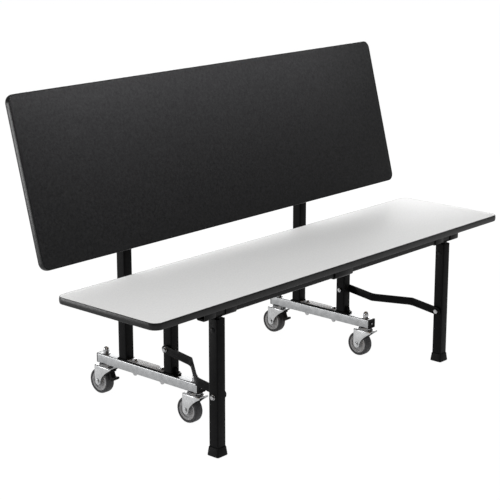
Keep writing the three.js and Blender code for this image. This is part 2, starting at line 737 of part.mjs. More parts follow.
for (const [side, sign] of Object.entries(sides)) {
  const carriage = addGroup(drawing, sign * postX, 0, 0);
  addMesh(carriage, `caster_rail_${side}`, railTube(), materials.zinc);
  const frontCap = addGroup(carriage, 0, railFrontSetback, railTop - railHeight / 2);
  addMesh(frontCap, `rail_cap_front_${side}`, railCap(-1), materials.blackPlastic);
  const rearCap = addGroup(carriage, 0, railRearSetback, railTop - railHeight / 2);
  addMesh(rearCap, `rail_cap_rear_${side}`, railCap(1), materials.blackPlastic);

  const frontPost = addGroup(carriage, 0, frontPostSetback, 0);
  const frontTube = post(1, frontFootHeel, seatHingeHeight + frontPostTopMargin, [
    { height: seatHingeHeight, radius: (hingePinRadius + runningGap) * boreReach },
    { height: linkPostHeight, radius: boltRadius + bondGap },
  ]);
  addMesh(frontPost, `front_post_${side}`, frontTube.add(footGusset()), materials.blackPaint);
  const rearPost = addGroup(carriage, 0, rearPostSetback, 0);
  const rearTube = post(-1, rearFootHeel, topPivotHeight + rearPostTopMargin, [
    { height: topPivotHeight, radius: pivotBoltRadius + bondGap },
    { height: topPivotHeight - lockRadius, radius: (knobStudRadius + runningGap) * boreReach },
  ]);
  addMesh(rearPost, `rear_post_${side}`, rearTube, materials.blackPaint);

  const frontBolt = addGroup(frontPost, 0, footBoltOffset, 0);
  addMesh(frontBolt, `foot_bolt_front_${side}`, footBolt(), materials.zinc);
  const rearBolt = addGroup(rearPost, 0, -footBoltOffset, 0);
  addMesh(rearBolt, `foot_bolt_rear_${side}`, footBolt(), materials.zinc);

  const linkPivot = addGroup(frontPost, 0, 0, linkPostHeight);
  const tubeFace = tubeHalf + bondGap;
  const linkFace = linkPostOffset + linkThickness / 2 + bondGap;
  const collar = [tubeFace, linkPostOffset - linkThickness / 2 - bondGap];
  const linkBolt = crossBolt(sign, boltRadius, boltHeadRadius, { head: linkFace, nut: tubeFace }, [collar]);
  addMesh(linkPivot, `link_post_bolt_${side}`, linkBolt, materials.zinc);
  addMesh(linkPivot, `link_${side}`, linkBar(sign), materials.blackPaint);

  const earFace = tubeHalf + earGap + plateThickness + bondGap;
  const pivotBolt = crossBolt(sign, pivotBoltRadius, pivotBoltHeadRadius, { head: earFace, nut: earFace });
  addMesh(addGroup(rearPost, 0, 0, topPivotHeight), `top_pivot_bolt_${side}`, pivotBolt, materials.zinc);

  for (const [end, setback] of [['front', frontSwivelSetback], ['rear', rearSwivelSetback]]) {
    const caster = addGroup(carriage, 0, setback, 0);
    const hasPedal = end === 'rear';
    addMesh(caster, `caster_stem_${end}_${side}`, casterStem(), materials.zinc);
    addMesh(caster, `caster_fork_${end}_${side}`, casterFork(hasPedal), materials.zinc);
    const wheel = addGroup(caster, 0, casterTrail, wheelRadius);
    addMesh(wheel, `wheel_hub_${end}_${side}`, wheelHub(), materials.greyPlastic);
    addMesh(wheel, `tyre_${end}_${side}`, tyre(), materials.tyre);
    if (hasPedal) {
      const pivot = addGroup(caster, 0, -pedalPivotForward, crownUnderside - pedalPivotDrop);
      addMesh(pivot, `brake_pedal_${side}`, brakePedal(), materials.blackPlastic);
    }
  }
}

// Tabletop, drawn level with its pivot at the origin and then leaned up as a backrest.
const top = addGroup(drawing, 0, rearPostSetback, topPivotHeight);
top.rotation.x = topTravel * degree;
const topPanel = addGroup(top, 0, 0, topPivotDrop);
addPanel(topPanel, 'top', topLength, topWidth, topCornerRadius, materials.topLaminate);

// The lock slot needs finer steps than the plates do, so that the stud clears its long arcs.
const slotCurve = 4;

// Tilt bracket: a windowed plate under the top, with an ear on each side of the rear post.
// Each ear has a round slot for the lock knob's stud.
function tiltBracket() {
  const plateTop = topPivotDrop - bondGap;
  const plate = block(
    [-tiltPlateLength / 2, -tiltPlateDepth / 2, plateTop - plateThickness],
    [tiltPlateLength / 2, tiltPlateDepth / 2, plateTop],
  );
  const slotHalf = knobStudRadius + runningGap;
  const earRadius = lockRadius + slotHalf + slotMargin;
  const ear = new THREE.Shape();
  ear.moveTo(tiltEarBack, plateTop - weldDepth);
  ear.lineTo(-tiltEarFront, plateTop - weldDepth);
  ear.absarc(0, 0, earRadius, Math.PI, 1.5 * Math.PI);
  ear.absarc(0, 0, tiltEarBack, 1.75 * Math.PI, 2 * Math.PI);
  const gap = tubeHalf + earGap;
  const earX = gap + plateThickness / 2;
  const window = block([-gap, -tubeHalf, 0], [gap, tubeHalf, plateTop + cutOvershoot]);
  const pivotHole = boreAlongX(pivotBoltRadius, -tubeSize, tubeSize);
  const start = (270 - topTravel) * degree;
  const finish = 270 * degree;
  const slot = new THREE.Shape();
  slot.absarc(0, 0, lockRadius + slotHalf, start, finish);
  slot.absarc(0, -lockRadius, slotHalf, finish, finish + Math.PI);
  slot.absarc(0, 0, lockRadius - slotHalf, finish, start, true);
  const slotEnd = [lockRadius * Math.cos(start), lockRadius * Math.sin(start)];
  slot.absarc(...slotEnd, slotHalf, start + Math.PI, start + 2 * Math.PI);
  const body = join([plate, sidePlate(ear, plateThickness, -earX), sidePlate(ear, plateThickness, earX)]);
  return cut(body, [window, pivotHole, sidePlate(slot, 2 * tubeSize, 0, slotCurve)]);
}

// Lock knob: a lobed hand knob whose stud passes through the lock slot into the rear post.
function lockKnob(sign) {
  const face = tubeHalf + earGap + plateThickness + bondGap;
  const lobed = new THREE.Shape();
  const steps = knobLobeFacets * knobLobes;
  for (let step = 0; step < steps; step += 1) {
    const angle = 2 * Math.PI * step / steps;
    const radius = knobRadius - knobLobe + knobLobe * Math.cos(knobLobes * angle);
    const point = [radius * Math.cos(angle), radius * Math.sin(angle)];
    if (step === 0) {
      lobed.moveTo(...point);
    } else {
      lobed.lineTo(...point);
    }
  }
  const grip = face + knobWasherHeight;
  return join([
    rodAlongX(knobStudRadius, sign * (tubeHalf - knobStudReach), sign * (grip + weldDepth)),
    rodAlongX(knobWasherRadius, sign * face, sign * (grip + weldDepth)),
    sidePlate(lobed, knobHeight, sign * (grip + knobHeight / 2)),
  ]);
}

for (const [side, sign] of Object.entries(sides)) {
  addMesh(addGroup(top, sign * postX, 0, 0), `tilt_bracket_${side}`, tiltBracket(), materials.blackPaint);
  const knob = addGroup(drawing, sign * postX, rearPostSetback, topPivotHeight - lockRadius);
  addMesh(knob, `lock_knob_${side}`, lockKnob(sign), materials.blackPlastic);
}

export default bench;
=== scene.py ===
import json
import math

import bmesh
import bpy
from mathutils import Matrix, Vector


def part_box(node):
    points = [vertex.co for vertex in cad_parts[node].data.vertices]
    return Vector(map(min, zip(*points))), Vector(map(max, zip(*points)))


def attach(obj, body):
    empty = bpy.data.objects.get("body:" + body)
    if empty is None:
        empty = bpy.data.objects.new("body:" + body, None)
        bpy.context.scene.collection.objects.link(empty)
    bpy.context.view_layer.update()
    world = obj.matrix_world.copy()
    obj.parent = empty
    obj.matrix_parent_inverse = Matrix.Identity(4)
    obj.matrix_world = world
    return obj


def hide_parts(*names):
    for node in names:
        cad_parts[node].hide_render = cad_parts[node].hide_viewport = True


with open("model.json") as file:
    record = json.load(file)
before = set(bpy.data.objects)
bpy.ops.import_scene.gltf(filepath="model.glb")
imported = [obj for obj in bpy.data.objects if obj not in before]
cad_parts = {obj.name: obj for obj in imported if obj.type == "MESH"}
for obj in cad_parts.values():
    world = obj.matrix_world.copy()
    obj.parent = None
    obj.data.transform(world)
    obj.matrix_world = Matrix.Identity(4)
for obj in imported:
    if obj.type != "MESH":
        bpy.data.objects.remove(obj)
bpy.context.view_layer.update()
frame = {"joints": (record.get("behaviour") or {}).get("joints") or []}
bpy.context.scene.view_settings.view_transform = "Standard"


# Camera
# It stands in front of the bench, to its left and a little above the tabletop.
# A long lens keeps the far end of the bench nearly as large as the near end.
camera_place = (-3.1892, -2.7860, 1.5368)
camera_pitch = 75.209
camera_yaw = -48.337
camera_lens = 107.37
camera_sensor = 36
camera_shift = (0.0011, -0.0084)
bpy.ops.object.select_all(action="DESELECT")
bpy.ops.object.camera_add(
    location=camera_place,
    rotation=(math.radians(camera_pitch), 0, math.radians(camera_yaw)),
)
camera = bpy.context.object
camera.data.lens = camera_lens
camera.data.sensor_width = camera_sensor
camera.data.shift_x, camera.data.shift_y = camera_shift
bpy.context.scene.camera = camera


# Studio floor and light
# A white floor runs out past the picture, under a pale even sky.
# Soft lamps hang at the front left, behind the left end, at the back and over the tabletop's upper edge.
floor_size = 80
floor_grey = (0.86, 0.86, 0.86, 1)
floor_glow = 0.95
sky_strength = 0.62
sky_mirrored = 0.25
backdrop_glow = 1.03
white = (1, 1, 1, 1)
bpy.ops.object.select_all(action="DESELECT")
bpy.ops.mesh.primitive_plane_add(size=floor_size, location=(0, 0, 0))
studio_floor = bpy.context.object
studio_floor.name = "studio_floor"


def seen_directly(nodes, links):
    """One where the camera, a mirror or glass sees the surface, and nought for its light on other things."""
    path = nodes.new("ShaderNodeLightPath")
    mirrored = nodes.new("ShaderNodeMath")
    mirrored.operation = "MAXIMUM"
    links.new(path.outputs["Is Camera Ray"], mirrored.inputs[0])
    links.new(path.outputs["Is Glossy Ray"], mirrored.inputs[1])
    either = nodes.new("ShaderNodeMath")
    either.operation = "MAXIMUM"
    links.new(mirrored.outputs[0], either.inputs[0])
    links.new(path.outputs["Is Transmission Ray"], either.inputs[1])
    return either.outputs[0]


floor_paint = bpy.data.materials.new("studio_floor_paint")
floor_paint.use_nodes = True
floor_nodes = floor_paint.node_tree.nodes
floor_links = floor_paint.node_tree.links
floor_matt = floor_nodes["Principled BSDF"]
floor_matt.inputs["Base Color"].default_value = floor_grey
floor_matt.inputs["Roughness"].default_value = 0.9
floor_matt.inputs["Specular IOR Level"].default_value = 0
floor_white = floor_nodes.new("ShaderNodeEmission")
floor_white.inputs["Strength"].default_value = backdrop_glow
floor_share = floor_nodes.new("ShaderNodeMath")
floor_share.operation = "MULTIPLY"
floor_share.inputs[1].default_value = floor_glow
floor_links.new(seen_directly(floor_nodes, floor_links), floor_share.inputs[0])
floor_mix = floor_nodes.new("ShaderNodeMixShader")
floor_links.new(floor_share.outputs[0], floor_mix.inputs[0])
floor_links.new(floor_matt.outputs[0], floor_mix.inputs[1])
floor_links.new(floor_white.outputs[0], floor_mix.inputs[2])
floor_links.new(floor_mix.outputs[0], floor_nodes["Material Output"].inputs["Surface"])
studio_floor.data.materials.append(floor_paint)

sky = bpy.data.worlds.new("studio_sky")
bpy.context.scene.world = sky
sky.use_nodes = True
sky_nodes = sky.node_tree.nodes
sky_links = sky.node_tree.links
sky_light = sky_nodes["Background"]
sky_light.inputs["Color"].default_value = white
sky_white = sky_nodes.new("ShaderNodeBackground")
sky_white.inputs["Color"].default_value = white
sky_white.inputs["Strength"].default_value = backdrop_glow
sky_path = sky_nodes.new("ShaderNodeLightPath")
sky_dim = sky_nodes.new("ShaderNodeMapRange")
sky_dim.inputs["To Min"].default_value = sky_strength
sky_dim.inputs["To Max"].default_value = sky_mirrored
sky_links.new(sky_path.outputs["Is Glossy Ray"], sky_dim.inputs["Value"])
sky_links.new(sky_dim.outputs["Result"], sky_light.inputs["Strength"])
sky_mix = sky_nodes.new("ShaderNodeMixShader")
sky_links.new(sky_path.outputs["Is Camera Ray"], sky_mix.inputs[0])
sky_links.new(sky_light.outputs[0], sky_mix.inputs[1])
sky_links.new(sky_white.outputs[0], sky_mix.inputs[2])
sky_links.new(sky_mix.outputs[0], sky_nodes["World Output"].inputs["Surface"])


def hang_lamp(name, place, target, size, power):
    """A soft lamp of a length and a height at a place, turned to face a target."""
    bpy.ops.object.select_all(action="DESELECT")
    bpy.ops.object.light_add(type="AREA", location=place)
    lamp = bpy.context.object
    lamp.name = name
    lamp.data.shape = "RECTANGLE"
    lamp.data.size = size[0]
    lamp.data.size_y = size[1]
    lamp.data.energy = power
    lamp.rotation_euler = (Vector(target) - Vector(place)).to_track_quat("-Z", "Y").to_euler()
    lamp.visible_camera = False
    return lamp


bench_middle = (0, 0, 0.5)
top_lamp_spread = 54
hang_lamp("key_lamp", place=(-2.0, -2.2, 3.2), target=bench_middle, size=(2.0, 2.0), power=60)
hang_lamp("rim_lamp", place=(-2.4, 1.9, 0.4), target=(-0.7, 0, 0.6), size=(0.9, 0.9), power=30)
hang_lamp("back_lamp", place=(2.4, 2.2, 1.2), target=bench_middle, size=(3.4, 1.8), power=64)
top_lamp = hang_lamp(
    "top_lamp", place=(0, -0.45, 1.55), target=(0, 0.27, 1.0), size=(1.6, 0.3), power=7
)
top_lamp.data.spread = math.radians(top_lamp_spread)


# Shared surface effects
# Each effect is a node group that turns a place on the piece into a mask or a height.
# The finishes below place them with their own scales.
def new_effect(name, scale):
    """An empty node group with a Place and a Scale input and a Mask output."""
    effect = bpy.data.node_groups.new(name, "ShaderNodeTree")
    effect.interface.new_socket("Place", in_out="INPUT", socket_type="NodeSocketVector")
    size = effect.interface.new_socket("Scale", in_out="INPUT", socket_type="NodeSocketFloat")
    size.default_value = scale
    effect.interface.new_socket("Mask", in_out="OUTPUT", socket_type="NodeSocketFloat")
    start = effect.nodes.new("NodeGroupInput")
    end = effect.nodes.new("NodeGroupOutput")
    return effect, start, end


# Soft clouds with finer clouds in them
clouds, clouds_in, clouds_out = new_effect("clouds", 40)
clouds_noise = clouds.nodes.new("ShaderNodeTexNoise")
clouds_noise.inputs["Detail"].default_value = 6
clouds_noise.inputs["Roughness"].default_value = 0.62
clouds_range = clouds.nodes.new("ShaderNodeMapRange")
clouds_range.inputs["From Min"].default_value = 0.32
clouds_range.inputs["From Max"].default_value = 0.68
clouds.links.new(clouds_in.outputs["Place"], clouds_noise.inputs["Vector"])
clouds.links.new(clouds_in.outputs["Scale"], clouds_noise.inputs["Scale"])
clouds.links.new(clouds_noise.outputs["Fac"], clouds_range.inputs["Value"])
clouds.links.new(clouds_range.outputs["Result"], clouds_out.inputs["Mask"])

# Small separate specks
specks, specks_in, specks_out = new_effect("specks", 900)
specks_cells = specks.nodes.new("ShaderNodeTexVoronoi")
specks_range = specks.nodes.new("ShaderNodeMapRange")
specks_range.inputs["From Min"].default_value = 0.12
specks_range.inputs["From Max"].default_value = 0.42
specks_range.inputs["To Min"].default_value = 1
specks_range.inputs["To Max"].default_value = 0
specks.links.new(specks_in.outputs["Place"], specks_cells.inputs["Vector"])
specks.links.new(specks_in.outputs["Scale"], specks_cells.inputs["Scale"])
specks.links.new(specks_cells.outputs["Distance"], specks_range.inputs["Value"])
specks.links.new(specks_range.outputs["Result"], specks_out.inputs["Mask"])

# Long fine lines along Y
strokes, strokes_in, strokes_out = new_effect("strokes", 500)
strokes_stretch = strokes.nodes.new("ShaderNodeMapping")
strokes_stretch.inputs["Scale"].default_value = (1, 0.03, 1)
strokes_noise = strokes.nodes.new("ShaderNodeTexNoise")
strokes_noise.inputs["Detail"].default_value = 4
strokes.links.new(strokes_in.outputs["Place"], strokes_stretch.inputs["Vector"])
strokes.links.new(strokes_stretch.outputs["Vector"], strokes_noise.inputs["Vector"])
strokes.links.new(strokes_in.outputs["Scale"], strokes_noise.inputs["Scale"])
strokes.links.new(strokes_noise.outputs["Fac"], strokes_out.inputs["Mask"])


class Finish:
    """A material under way: its nodes, its shader and the place on the piece that patterns read."""

    def __init__(self, name, metallic=0.0, specular=0.5):
        self.material = bpy.data.materials.new(name)
        self.material.use_nodes = True
        self.nodes = self.material.node_tree.nodes
        self.links = self.material.node_tree.links
        self.shader = self.nodes["Principled BSDF"]
        self.shader.inputs["Metallic"].default_value = metallic
        self.shader.inputs["Specular IOR Level"].default_value = specular
        self.place = self.nodes.new("ShaderNodeTexCoord").outputs["Object"]

    def effect(self, group, scale):
        """The mask of a shared effect at a scale."""
        node = self.nodes.new("ShaderNodeGroup")
        node.node_tree = group
        node.inputs["Scale"].default_value = scale
        self.links.new(self.place, node.inputs["Place"])
        return node.outputs["Mask"]

    def colour(self, group, scale, dark, light):
        """Base colour from a dark tone to a light one by an effect."""
        mask = self.effect(group, scale)
        ramp = self.nodes.new("ShaderNodeValToRGB")
        ramp.color_ramp.elements[0].color = (*dark, 1)
        ramp.color_ramp.elements[1].color = (*light, 1)
        self.links.new(mask, ramp.inputs["Fac"])
        self.links.new(ramp.outputs["Color"], self.shader.inputs["Base Color"])
        return ramp.outputs["Color"]

    def flecked(self, colour, group, scale, fleck, share):
        """The base colour with a share of flecks of another colour."""
        mask = self.effect(group, scale)
        amount = self.nodes.new("ShaderNodeMath")
        amount.operation = "MULTIPLY"
        amount.inputs[1].default_value = share
        self.links.new(mask, amount.inputs[0])
        mix = self.nodes.new("ShaderNodeMix")
        mix.data_type = "RGBA"
        mix.inputs["B"].default_value = (*fleck, 1)
        self.links.new(amount.outputs[0], mix.inputs["Factor"])
        self.links.new(colour, mix.inputs["A"])
        self.links.new(mix.outputs["Result"], self.shader.inputs["Base Color"])

    def roughness(self, group, scale, smooth, rough):
        """Roughness from smooth to rough by an effect."""
        mask = self.effect(group, scale)
        span = self.nodes.new("ShaderNodeMapRange")
        span.inputs["To Min"].default_value = smooth
        span.inputs["To Max"].default_value = rough
        self.links.new(mask, span.inputs["Value"])
        self.links.new(span.outputs["Result"], self.shader.inputs["Roughness"])

    def relief(self, group, scale, depth, strength):
        """A bump of a real depth, in metres, by an effect."""
        mask = self.effect(group, scale)
        bump = self.nodes.new("ShaderNodeBump")
        bump.inputs["Distance"].default_value = depth
        bump.inputs["Strength"].default_value = strength
        self.links.new(mask, bump.inputs["Height"])
        self.links.new(bump.outputs["Normal"], self.shader.inputs["Normal"])


# Caster rails
# Each carriage is carried by a rail of rectangular steel tube, bright zinc plated and lightly brushed.
# The tube is drawn, cut square and drilled for the casters and the posts' bolts.
sides = {"left": -1, "right": 1}
ends = ("front", "rear")
rail_corner = 0.003
rail_wall = 0.002
smooth_angle = 35
x_axis, y_axis, z_axis = 0, 1, 2
# What counts as lying along an axis, as a share of its length, and as the same place
along_axis = 0.99
near = 0.0001
zinc = Finish("bright_zinc", metallic=1.0)
zinc.colour(clouds, 60, (0.26, 0.265, 0.27), (0.36, 0.365, 0.37))
zinc.roughness(strokes, 700, 0.26, 0.46)
zinc.relief(strokes, 700, 0.0001, 0.25)


def name_piece(piece, name):
    """Gives a piece and its mesh one name."""
    piece.name = name
    piece.data.name = name


def pick_alone(piece):
    """Makes a piece the active one and the only one selected."""
    bpy.ops.object.select_all(action="DESELECT")
    piece.select_set(True)
    bpy.context.view_layer.objects.active = piece


def add_block(name, low, high):
    """A block between two corners, with its place in its mesh."""
    low = Vector(low)
    high = Vector(high)
    bpy.ops.object.select_all(action="DESELECT")
    bpy.ops.mesh.primitive_cube_add(size=1, location=(low + high) / 2)
    piece = bpy.context.object
    name_piece(piece, name)
    piece.scale = high - low
    bpy.ops.object.transform_apply(location=True, rotation=True, scale=True)
    return piece


def open_edit(piece):
    """Edit mode on one piece, with nothing selected."""
    pick_alone(piece)
    bpy.ops.object.mode_set(mode="EDIT")
    bpy.ops.mesh.select_all(action="DESELECT")


def close_edit():
    """Back to object mode."""
    bpy.ops.object.mode_set(mode="OBJECT")


def pick_faces(piece, wanted):
    """Selects the faces whose centre and normal are wanted."""
    bpy.ops.mesh.select_mode(type="FACE")
    bpy.ops.mesh.select_all(action="DESELECT")
    shape = bmesh.from_edit_mesh(piece.data)
    for face in shape.faces:
        face.select_set(wanted(face.calc_center_median(), face.normal))
    bmesh.update_edit_mesh(piece.data)


def pick_edges(piece, wanted):
    """Selects the edges whose middle and direction are wanted."""
    bpy.ops.mesh.select_mode(type="EDGE")
    bpy.ops.mesh.select_all(action="DESELECT")
    shape = bmesh.from_edit_mesh(piece.data)
    for edge in shape.edges:
        first, second = [vertex.co for vertex in edge.verts]
        edge.select_set(wanted((first + second) / 2, (second - first).normalized()))
    bmesh.update_edit_mesh(piece.data)


def round_long_edges(piece, axis, radius, segments=5):
    """Rounds the edges that run along one axis."""
    open_edit(piece)
    pick_edges(piece, lambda middle, along: abs(along[axis]) > along_axis)
    bpy.ops.mesh.bevel(offset=radius, segments=segments, affect="EDGES")
    close_edit()


def apply_modifier(piece, modifier):
    """Makes a modifier's result the piece's own mesh."""
    pick_alone(piece)
    bpy.ops.object.modifier_apply(modifier=modifier.name)


def thicken(piece, wall):
    """Gives an open sheet a wall on its inner side."""
    shell = piece.modifiers.new("wall", "SOLIDIFY")
    shell.thickness = wall
    shell.offset = -1
    shell.use_even_offset = True
    apply_modifier(piece, shell)


def soften(piece, width, segments=3, angle=40):
    """Breaks every sharp edge by a small round."""
    bevel = piece.modifiers.new("soft_edges", "BEVEL")
    bevel.width = width
    bevel.segments = segments
    bevel.limit_method = "ANGLE"
    bevel.angle_limit = math.radians(angle)
    apply_modifier(piece, bevel)


def join_pieces(name, pieces):
    """One piece out of several."""
    bpy.ops.object.select_all(action="DESELECT")
    for piece in pieces:
        piece.select_set(True)
    bpy.context.view_layer.objects.active = pieces[0]
    if len(pieces) > 1:
        bpy.ops.object.join()
    name_piece(pieces[0], name)
    return pieces[0]


def fit_piece(piece, node, body, finish):
    """Shades a finished piece, gives it its finish and puts it in the place of its node."""
    pick_alone(piece)
    bpy.ops.object.shade_smooth_by_angle(angle=math.radians(smooth_angle))
    piece.data.materials.clear()
    piece.data.materials.append(finish.material)
    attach(piece, body)
    if node:
        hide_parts(node)


def square_tube(name, low, high, axis, radius, wall):
    """A tube with round corners along one axis, open at both ends."""
    piece = add_block(name, low, high)
    round_long_edges(piece, axis, radius)
    open_edit(piece)
    pick_faces(piece, lambda centre, normal: abs(normal[axis]) > along_axis)
    bpy.ops.mesh.delete(type="FACE")
    close_edit()
    thicken(piece, wall)
    return piece


for side in sides:
    node = f"caster_rail_{side}"
    rail = square_tube(f"rail_{side}", *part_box(node), y_axis, rail_corner, rail_wall)
    fit_piece(rail, node, "carriages", zinc)


# Rail end caps
# A moulded black plastic plug closes each end of the rail, with a sunk panel round a raised square.
# A small bright rivet shows in its middle.
cap_flange = 0.003
cap_frame = 0.0045
cap_sink = 0.0014
cap_square = 0.0045
cap_rivet_radius = 0.0026
cap_rivet_height = 0.0011
cap_draft = 0.0003
dome_flat = 0.06
merge_distance = 0.000001
black_plastic = Finish("moulded_black_plastic", specular=0.08)
black_plastic.colour(clouds, 80, (0.0025, 0.0025, 0.0025), (0.006, 0.006, 0.0063))
black_plastic.roughness(clouds, 300, 0.42, 0.6)
black_plastic.relief(specks, 2600, 0.00006, 0.35)


def add_turned(name, loops, corners, closed=False):
    """A piece turned about Z: a ring of corners drawn out from loop to loop of radius and height."""
    radius, height = loops[0]
    bpy.ops.object.select_all(action="DESELECT")
    bpy.ops.mesh.primitive_circle_add(vertices=corners, radius=radius, location=(0, 0, height))
    piece = bpy.context.object
    name_piece(piece, name)
    bpy.ops.object.transform_apply(location=True, rotation=True, scale=True)
    bpy.ops.object.mode_set(mode="EDIT")
    bpy.ops.mesh.select_mode(type="VERT")
    bpy.ops.mesh.select_all(action="SELECT")
    for next_radius, next_height in loops[1:]:
        rise = (0, 0, next_height - height)
        bpy.ops.mesh.extrude_edges_move(TRANSFORM_OT_translate={"value": rise})
        growth = next_radius / radius
        bpy.ops.transform.resize(value=(growth, growth, 1), center_override=(0, 0, next_height))
        radius, height = next_radius, next_height
    bpy.ops.mesh.select_all(action="SELECT")
    bpy.ops.mesh.remove_doubles(threshold=merge_distance)
    if not closed:
        bpy.ops.mesh.select_all(action="SELECT")
        bpy.ops.mesh.fill_holes(sides=0)
    bpy.ops.mesh.select_all(action="SELECT")
    bpy.ops.mesh.normals_make_consistent(inside=False)
    close_edit()
    return piece


def set_down(piece, turn, place):
    """Turns a piece about the origin, moves it to its place and keeps both in its mesh."""
    piece.rotation_euler = turn
    piece.location = place
    pick_alone(piece)
    bpy.ops.object.transform_apply(location=True, rotation=True, scale=True)
    return piece


quarter = math.pi / 2
facing_front = (quarter, 0, 0)
facing_back = (-quarter, 0, 0)
facing_left = (0, -quarter, 0)
facing_right = (0, quarter, 0)


def dome_loops(radius, base, height, steps=7):
    """Loops of a dome from its base to a small flat at its top."""
    loops = []
    for step in range(steps):
        angle = quarter * step / steps
        loops.append((radius * math.cos(angle), base + height * math.sin(angle)))
    loops.append((radius * dome_flat, base + height))
    return loops


for side in sides:
    for end in ends:
        node = f"rail_cap_{end}_{side}"
        low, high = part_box(node)
        if end == "rear":
            low.y = high.y - cap_flange
            outward, face_y, turn = 1, high.y, facing_back
        else:
            high.y = low.y + cap_flange
            outward, face_y, turn = -1, low.y, facing_front
        cap = add_block(f"cap_{end}_{side}", low, high)
        open_edit(cap)
        pick_faces(cap, lambda centre, normal: normal.y * outward > along_axis)
        bpy.ops.mesh.inset(thickness=cap_frame)
        bpy.ops.mesh.inset(thickness=cap_draft, depth=-cap_sink)
        bpy.ops.mesh.inset(thickness=cap_square)
        bpy.ops.mesh.inset(thickness=cap_draft, depth=cap_sink)
        pick_edges(cap, lambda middle, along: abs(along.y) > along_axis)
        bpy.ops.mesh.bevel(offset=rail_corner, segments=5, affect="EDGES")
        close_edit()
        soften(cap, cap_draft, segments=2)
        fit_piece(cap, node, "carriages", black_plastic)
        rivet_loops = dome_loops(cap_rivet_radius, 0, cap_rivet_height)
        rivet = add_turned(f"cap_rivet_{end}_{side}", rivet_loops, corners=24)
        centre = (low + high) / 2
        set_down(rivet, turn, (centre.x, face_y, centre.z))
        fit_piece(rivet, None, "carriages", zinc)


# Caster stems
# A threaded steel stem holds each caster to the rail, under a polished cap nut and a washer.
# Below the rail the stem carries the ball race, pressed from stacked steel rings.
washer_radius = 0.0122
washer_height = 0.0014
nut_radius = 0.0095
nut_chamfer = 0.0011
dome_radius = 0.0082
dome_height = 0.011
dome_sink = 0.0006
chamfer_slope = 1.6
stem_radius = 0.006
kingpin_radius = 0.009
kingpin_height = 0.0025
ring_edge = 0.0004
fit_gap = 0.0003
polished = Finish("polished_nut", metallic=1.0)
polished.colour(clouds, 90, (0.30, 0.30, 0.305), (0.46, 0.46, 0.465))
polished.roughness(clouds, 200, 0.10, 0.22)


def hexagon(name, radius, base, top, chamfer):
    """A nut or bolt head with its upper corners chamfered."""
    loops = [(radius, base), (radius, top - chamfer), (radius - chamfer_slope * chamfer, top)]
    return add_turned(name, loops, corners=6)


def disc(name, radius, base, top, corners=40):
    """A washer or ring with its edges broken."""
    flat = radius - ring_edge
    loops = [(flat, base), (radius, base + ring_edge), (radius, top - ring_edge), (flat, top)]
    return add_turned(name, loops, corners)


# Radius and height of each ring of the race, from the bottom up
race_rings = ((0.0240, 0.0024), (0.0196, 0.0010), (0.0222, 0.0024), (0.0190, 0.0006), (0.0200, 0.0016))
for side in sides:
    rail_low, rail_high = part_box(f"caster_rail_{side}")
    for end in ends:
        node = f"caster_stem_{end}_{side}"
        low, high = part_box(node)
        nut_base = rail_high.z + fit_gap
        nut_top = high.z - dome_height
        pieces = [
            disc("washer", washer_radius, nut_base, nut_base + washer_height),
            hexagon("nut", nut_radius, nut_base + washer_height, nut_top, nut_chamfer),
            add_turned("dome", dome_loops(dome_radius, nut_top - dome_sink, dome_height), corners=40),
            add_turned("stem", [(stem_radius, low.z), (stem_radius, nut_base)], corners=24),
            disc("kingpin_head", kingpin_radius, low.z, low.z + kingpin_height),
        ]
        ring_top = rail_low.z - fit_gap
        for radius, height in reversed(race_rings):
            pieces.append(disc("ring", radius, ring_top - height, ring_top, corners=56))
            ring_top -= height
        stem = join_pieces(f"stem_{end}_{side}", pieces)
        centre = (low + high) / 2
        set_down(stem, (0, 0, 0), (centre.x, centre.y, 0))
        fit_piece(stem, node, "carriages", polished)


# Caster forks
# Each fork is pressed from one steel plate: a flat crown under the race and two cheeks down to the axle.
# It is zinc plated, and a bolt through the cheeks is the axle.
fork_plate = 0.003
fork_bend = 0.004
fork_lip = 0.003
fork_boss = 0.011
fork_rear = 0.012
throat_height = 0.059
fork_edge = 0.0005
fork_curve_steps = 8
axle_radius = 0.004
axle_head = 0.004
axle_head_radius = 0.0065
axle_head_chamfer = 0.0006
axle_washer_radius = 0.0085
axle_washer_height = 0.001
start_size = 0.001
clearance = 0.01
pivots = {joint["name"]: Vector(joint["pos_m"]) for joint in frame["joints"]}
plated = Finish("zinc_plate", metallic=1.0)
plated.colour(clouds, 120, (0.40, 0.405, 0.41), (0.52, 0.525, 0.53))
plated.roughness(clouds, 260, 0.24, 0.40)
plated.relief(clouds, 500, 0.00008, 0.2)


def arc(centre, radius, start, finish, steps):
    """Points of an arc, with angles in degrees."""
    points = []
    for step in range(steps + 1):
        angle = math.radians(start + (finish - start) * step / steps)
        points.append((centre[0] + radius * math.cos(angle), centre[1] + radius * math.sin(angle)))
    return points


def add_plate(name, outline, low_x, high_x):
    """A plate with an outline of Y and Z, drawn point by point, filled and given its thickness along X."""
    bpy.ops.object.select_all(action="DESELECT")
    bpy.ops.mesh.primitive_plane_add(size=start_size, location=(low_x, *outline[0]))
    piece = bpy.context.object
    name_piece(piece, name)
    bpy.ops.object.transform_apply(location=True, rotation=True, scale=True)
    bpy.ops.object.mode_set(mode="EDIT")
    bpy.ops.mesh.select_mode(type="VERT")
    bpy.ops.mesh.select_all(action="SELECT")
    bpy.ops.mesh.merge(type="CENTER")
    before = outline[0]
    for point in outline[1:]:
        step = (0, point[0] - before[0], point[1] - before[1])
        bpy.ops.mesh.extrude_vertices_move(TRANSFORM_OT_translate={"value": step})
        before = point
    bpy.ops.mesh.select_all(action="SELECT")
    bpy.ops.mesh.edge_face_add()
    bpy.ops.mesh.extrude_region_move(TRANSFORM_OT_translate={"value": (high_x - low_x, 0, 0)})
    bpy.ops.mesh.select_all(action="SELECT")
    bpy.ops.mesh.normals_make_consistent(inside=False)
    close_edit()
    return piece


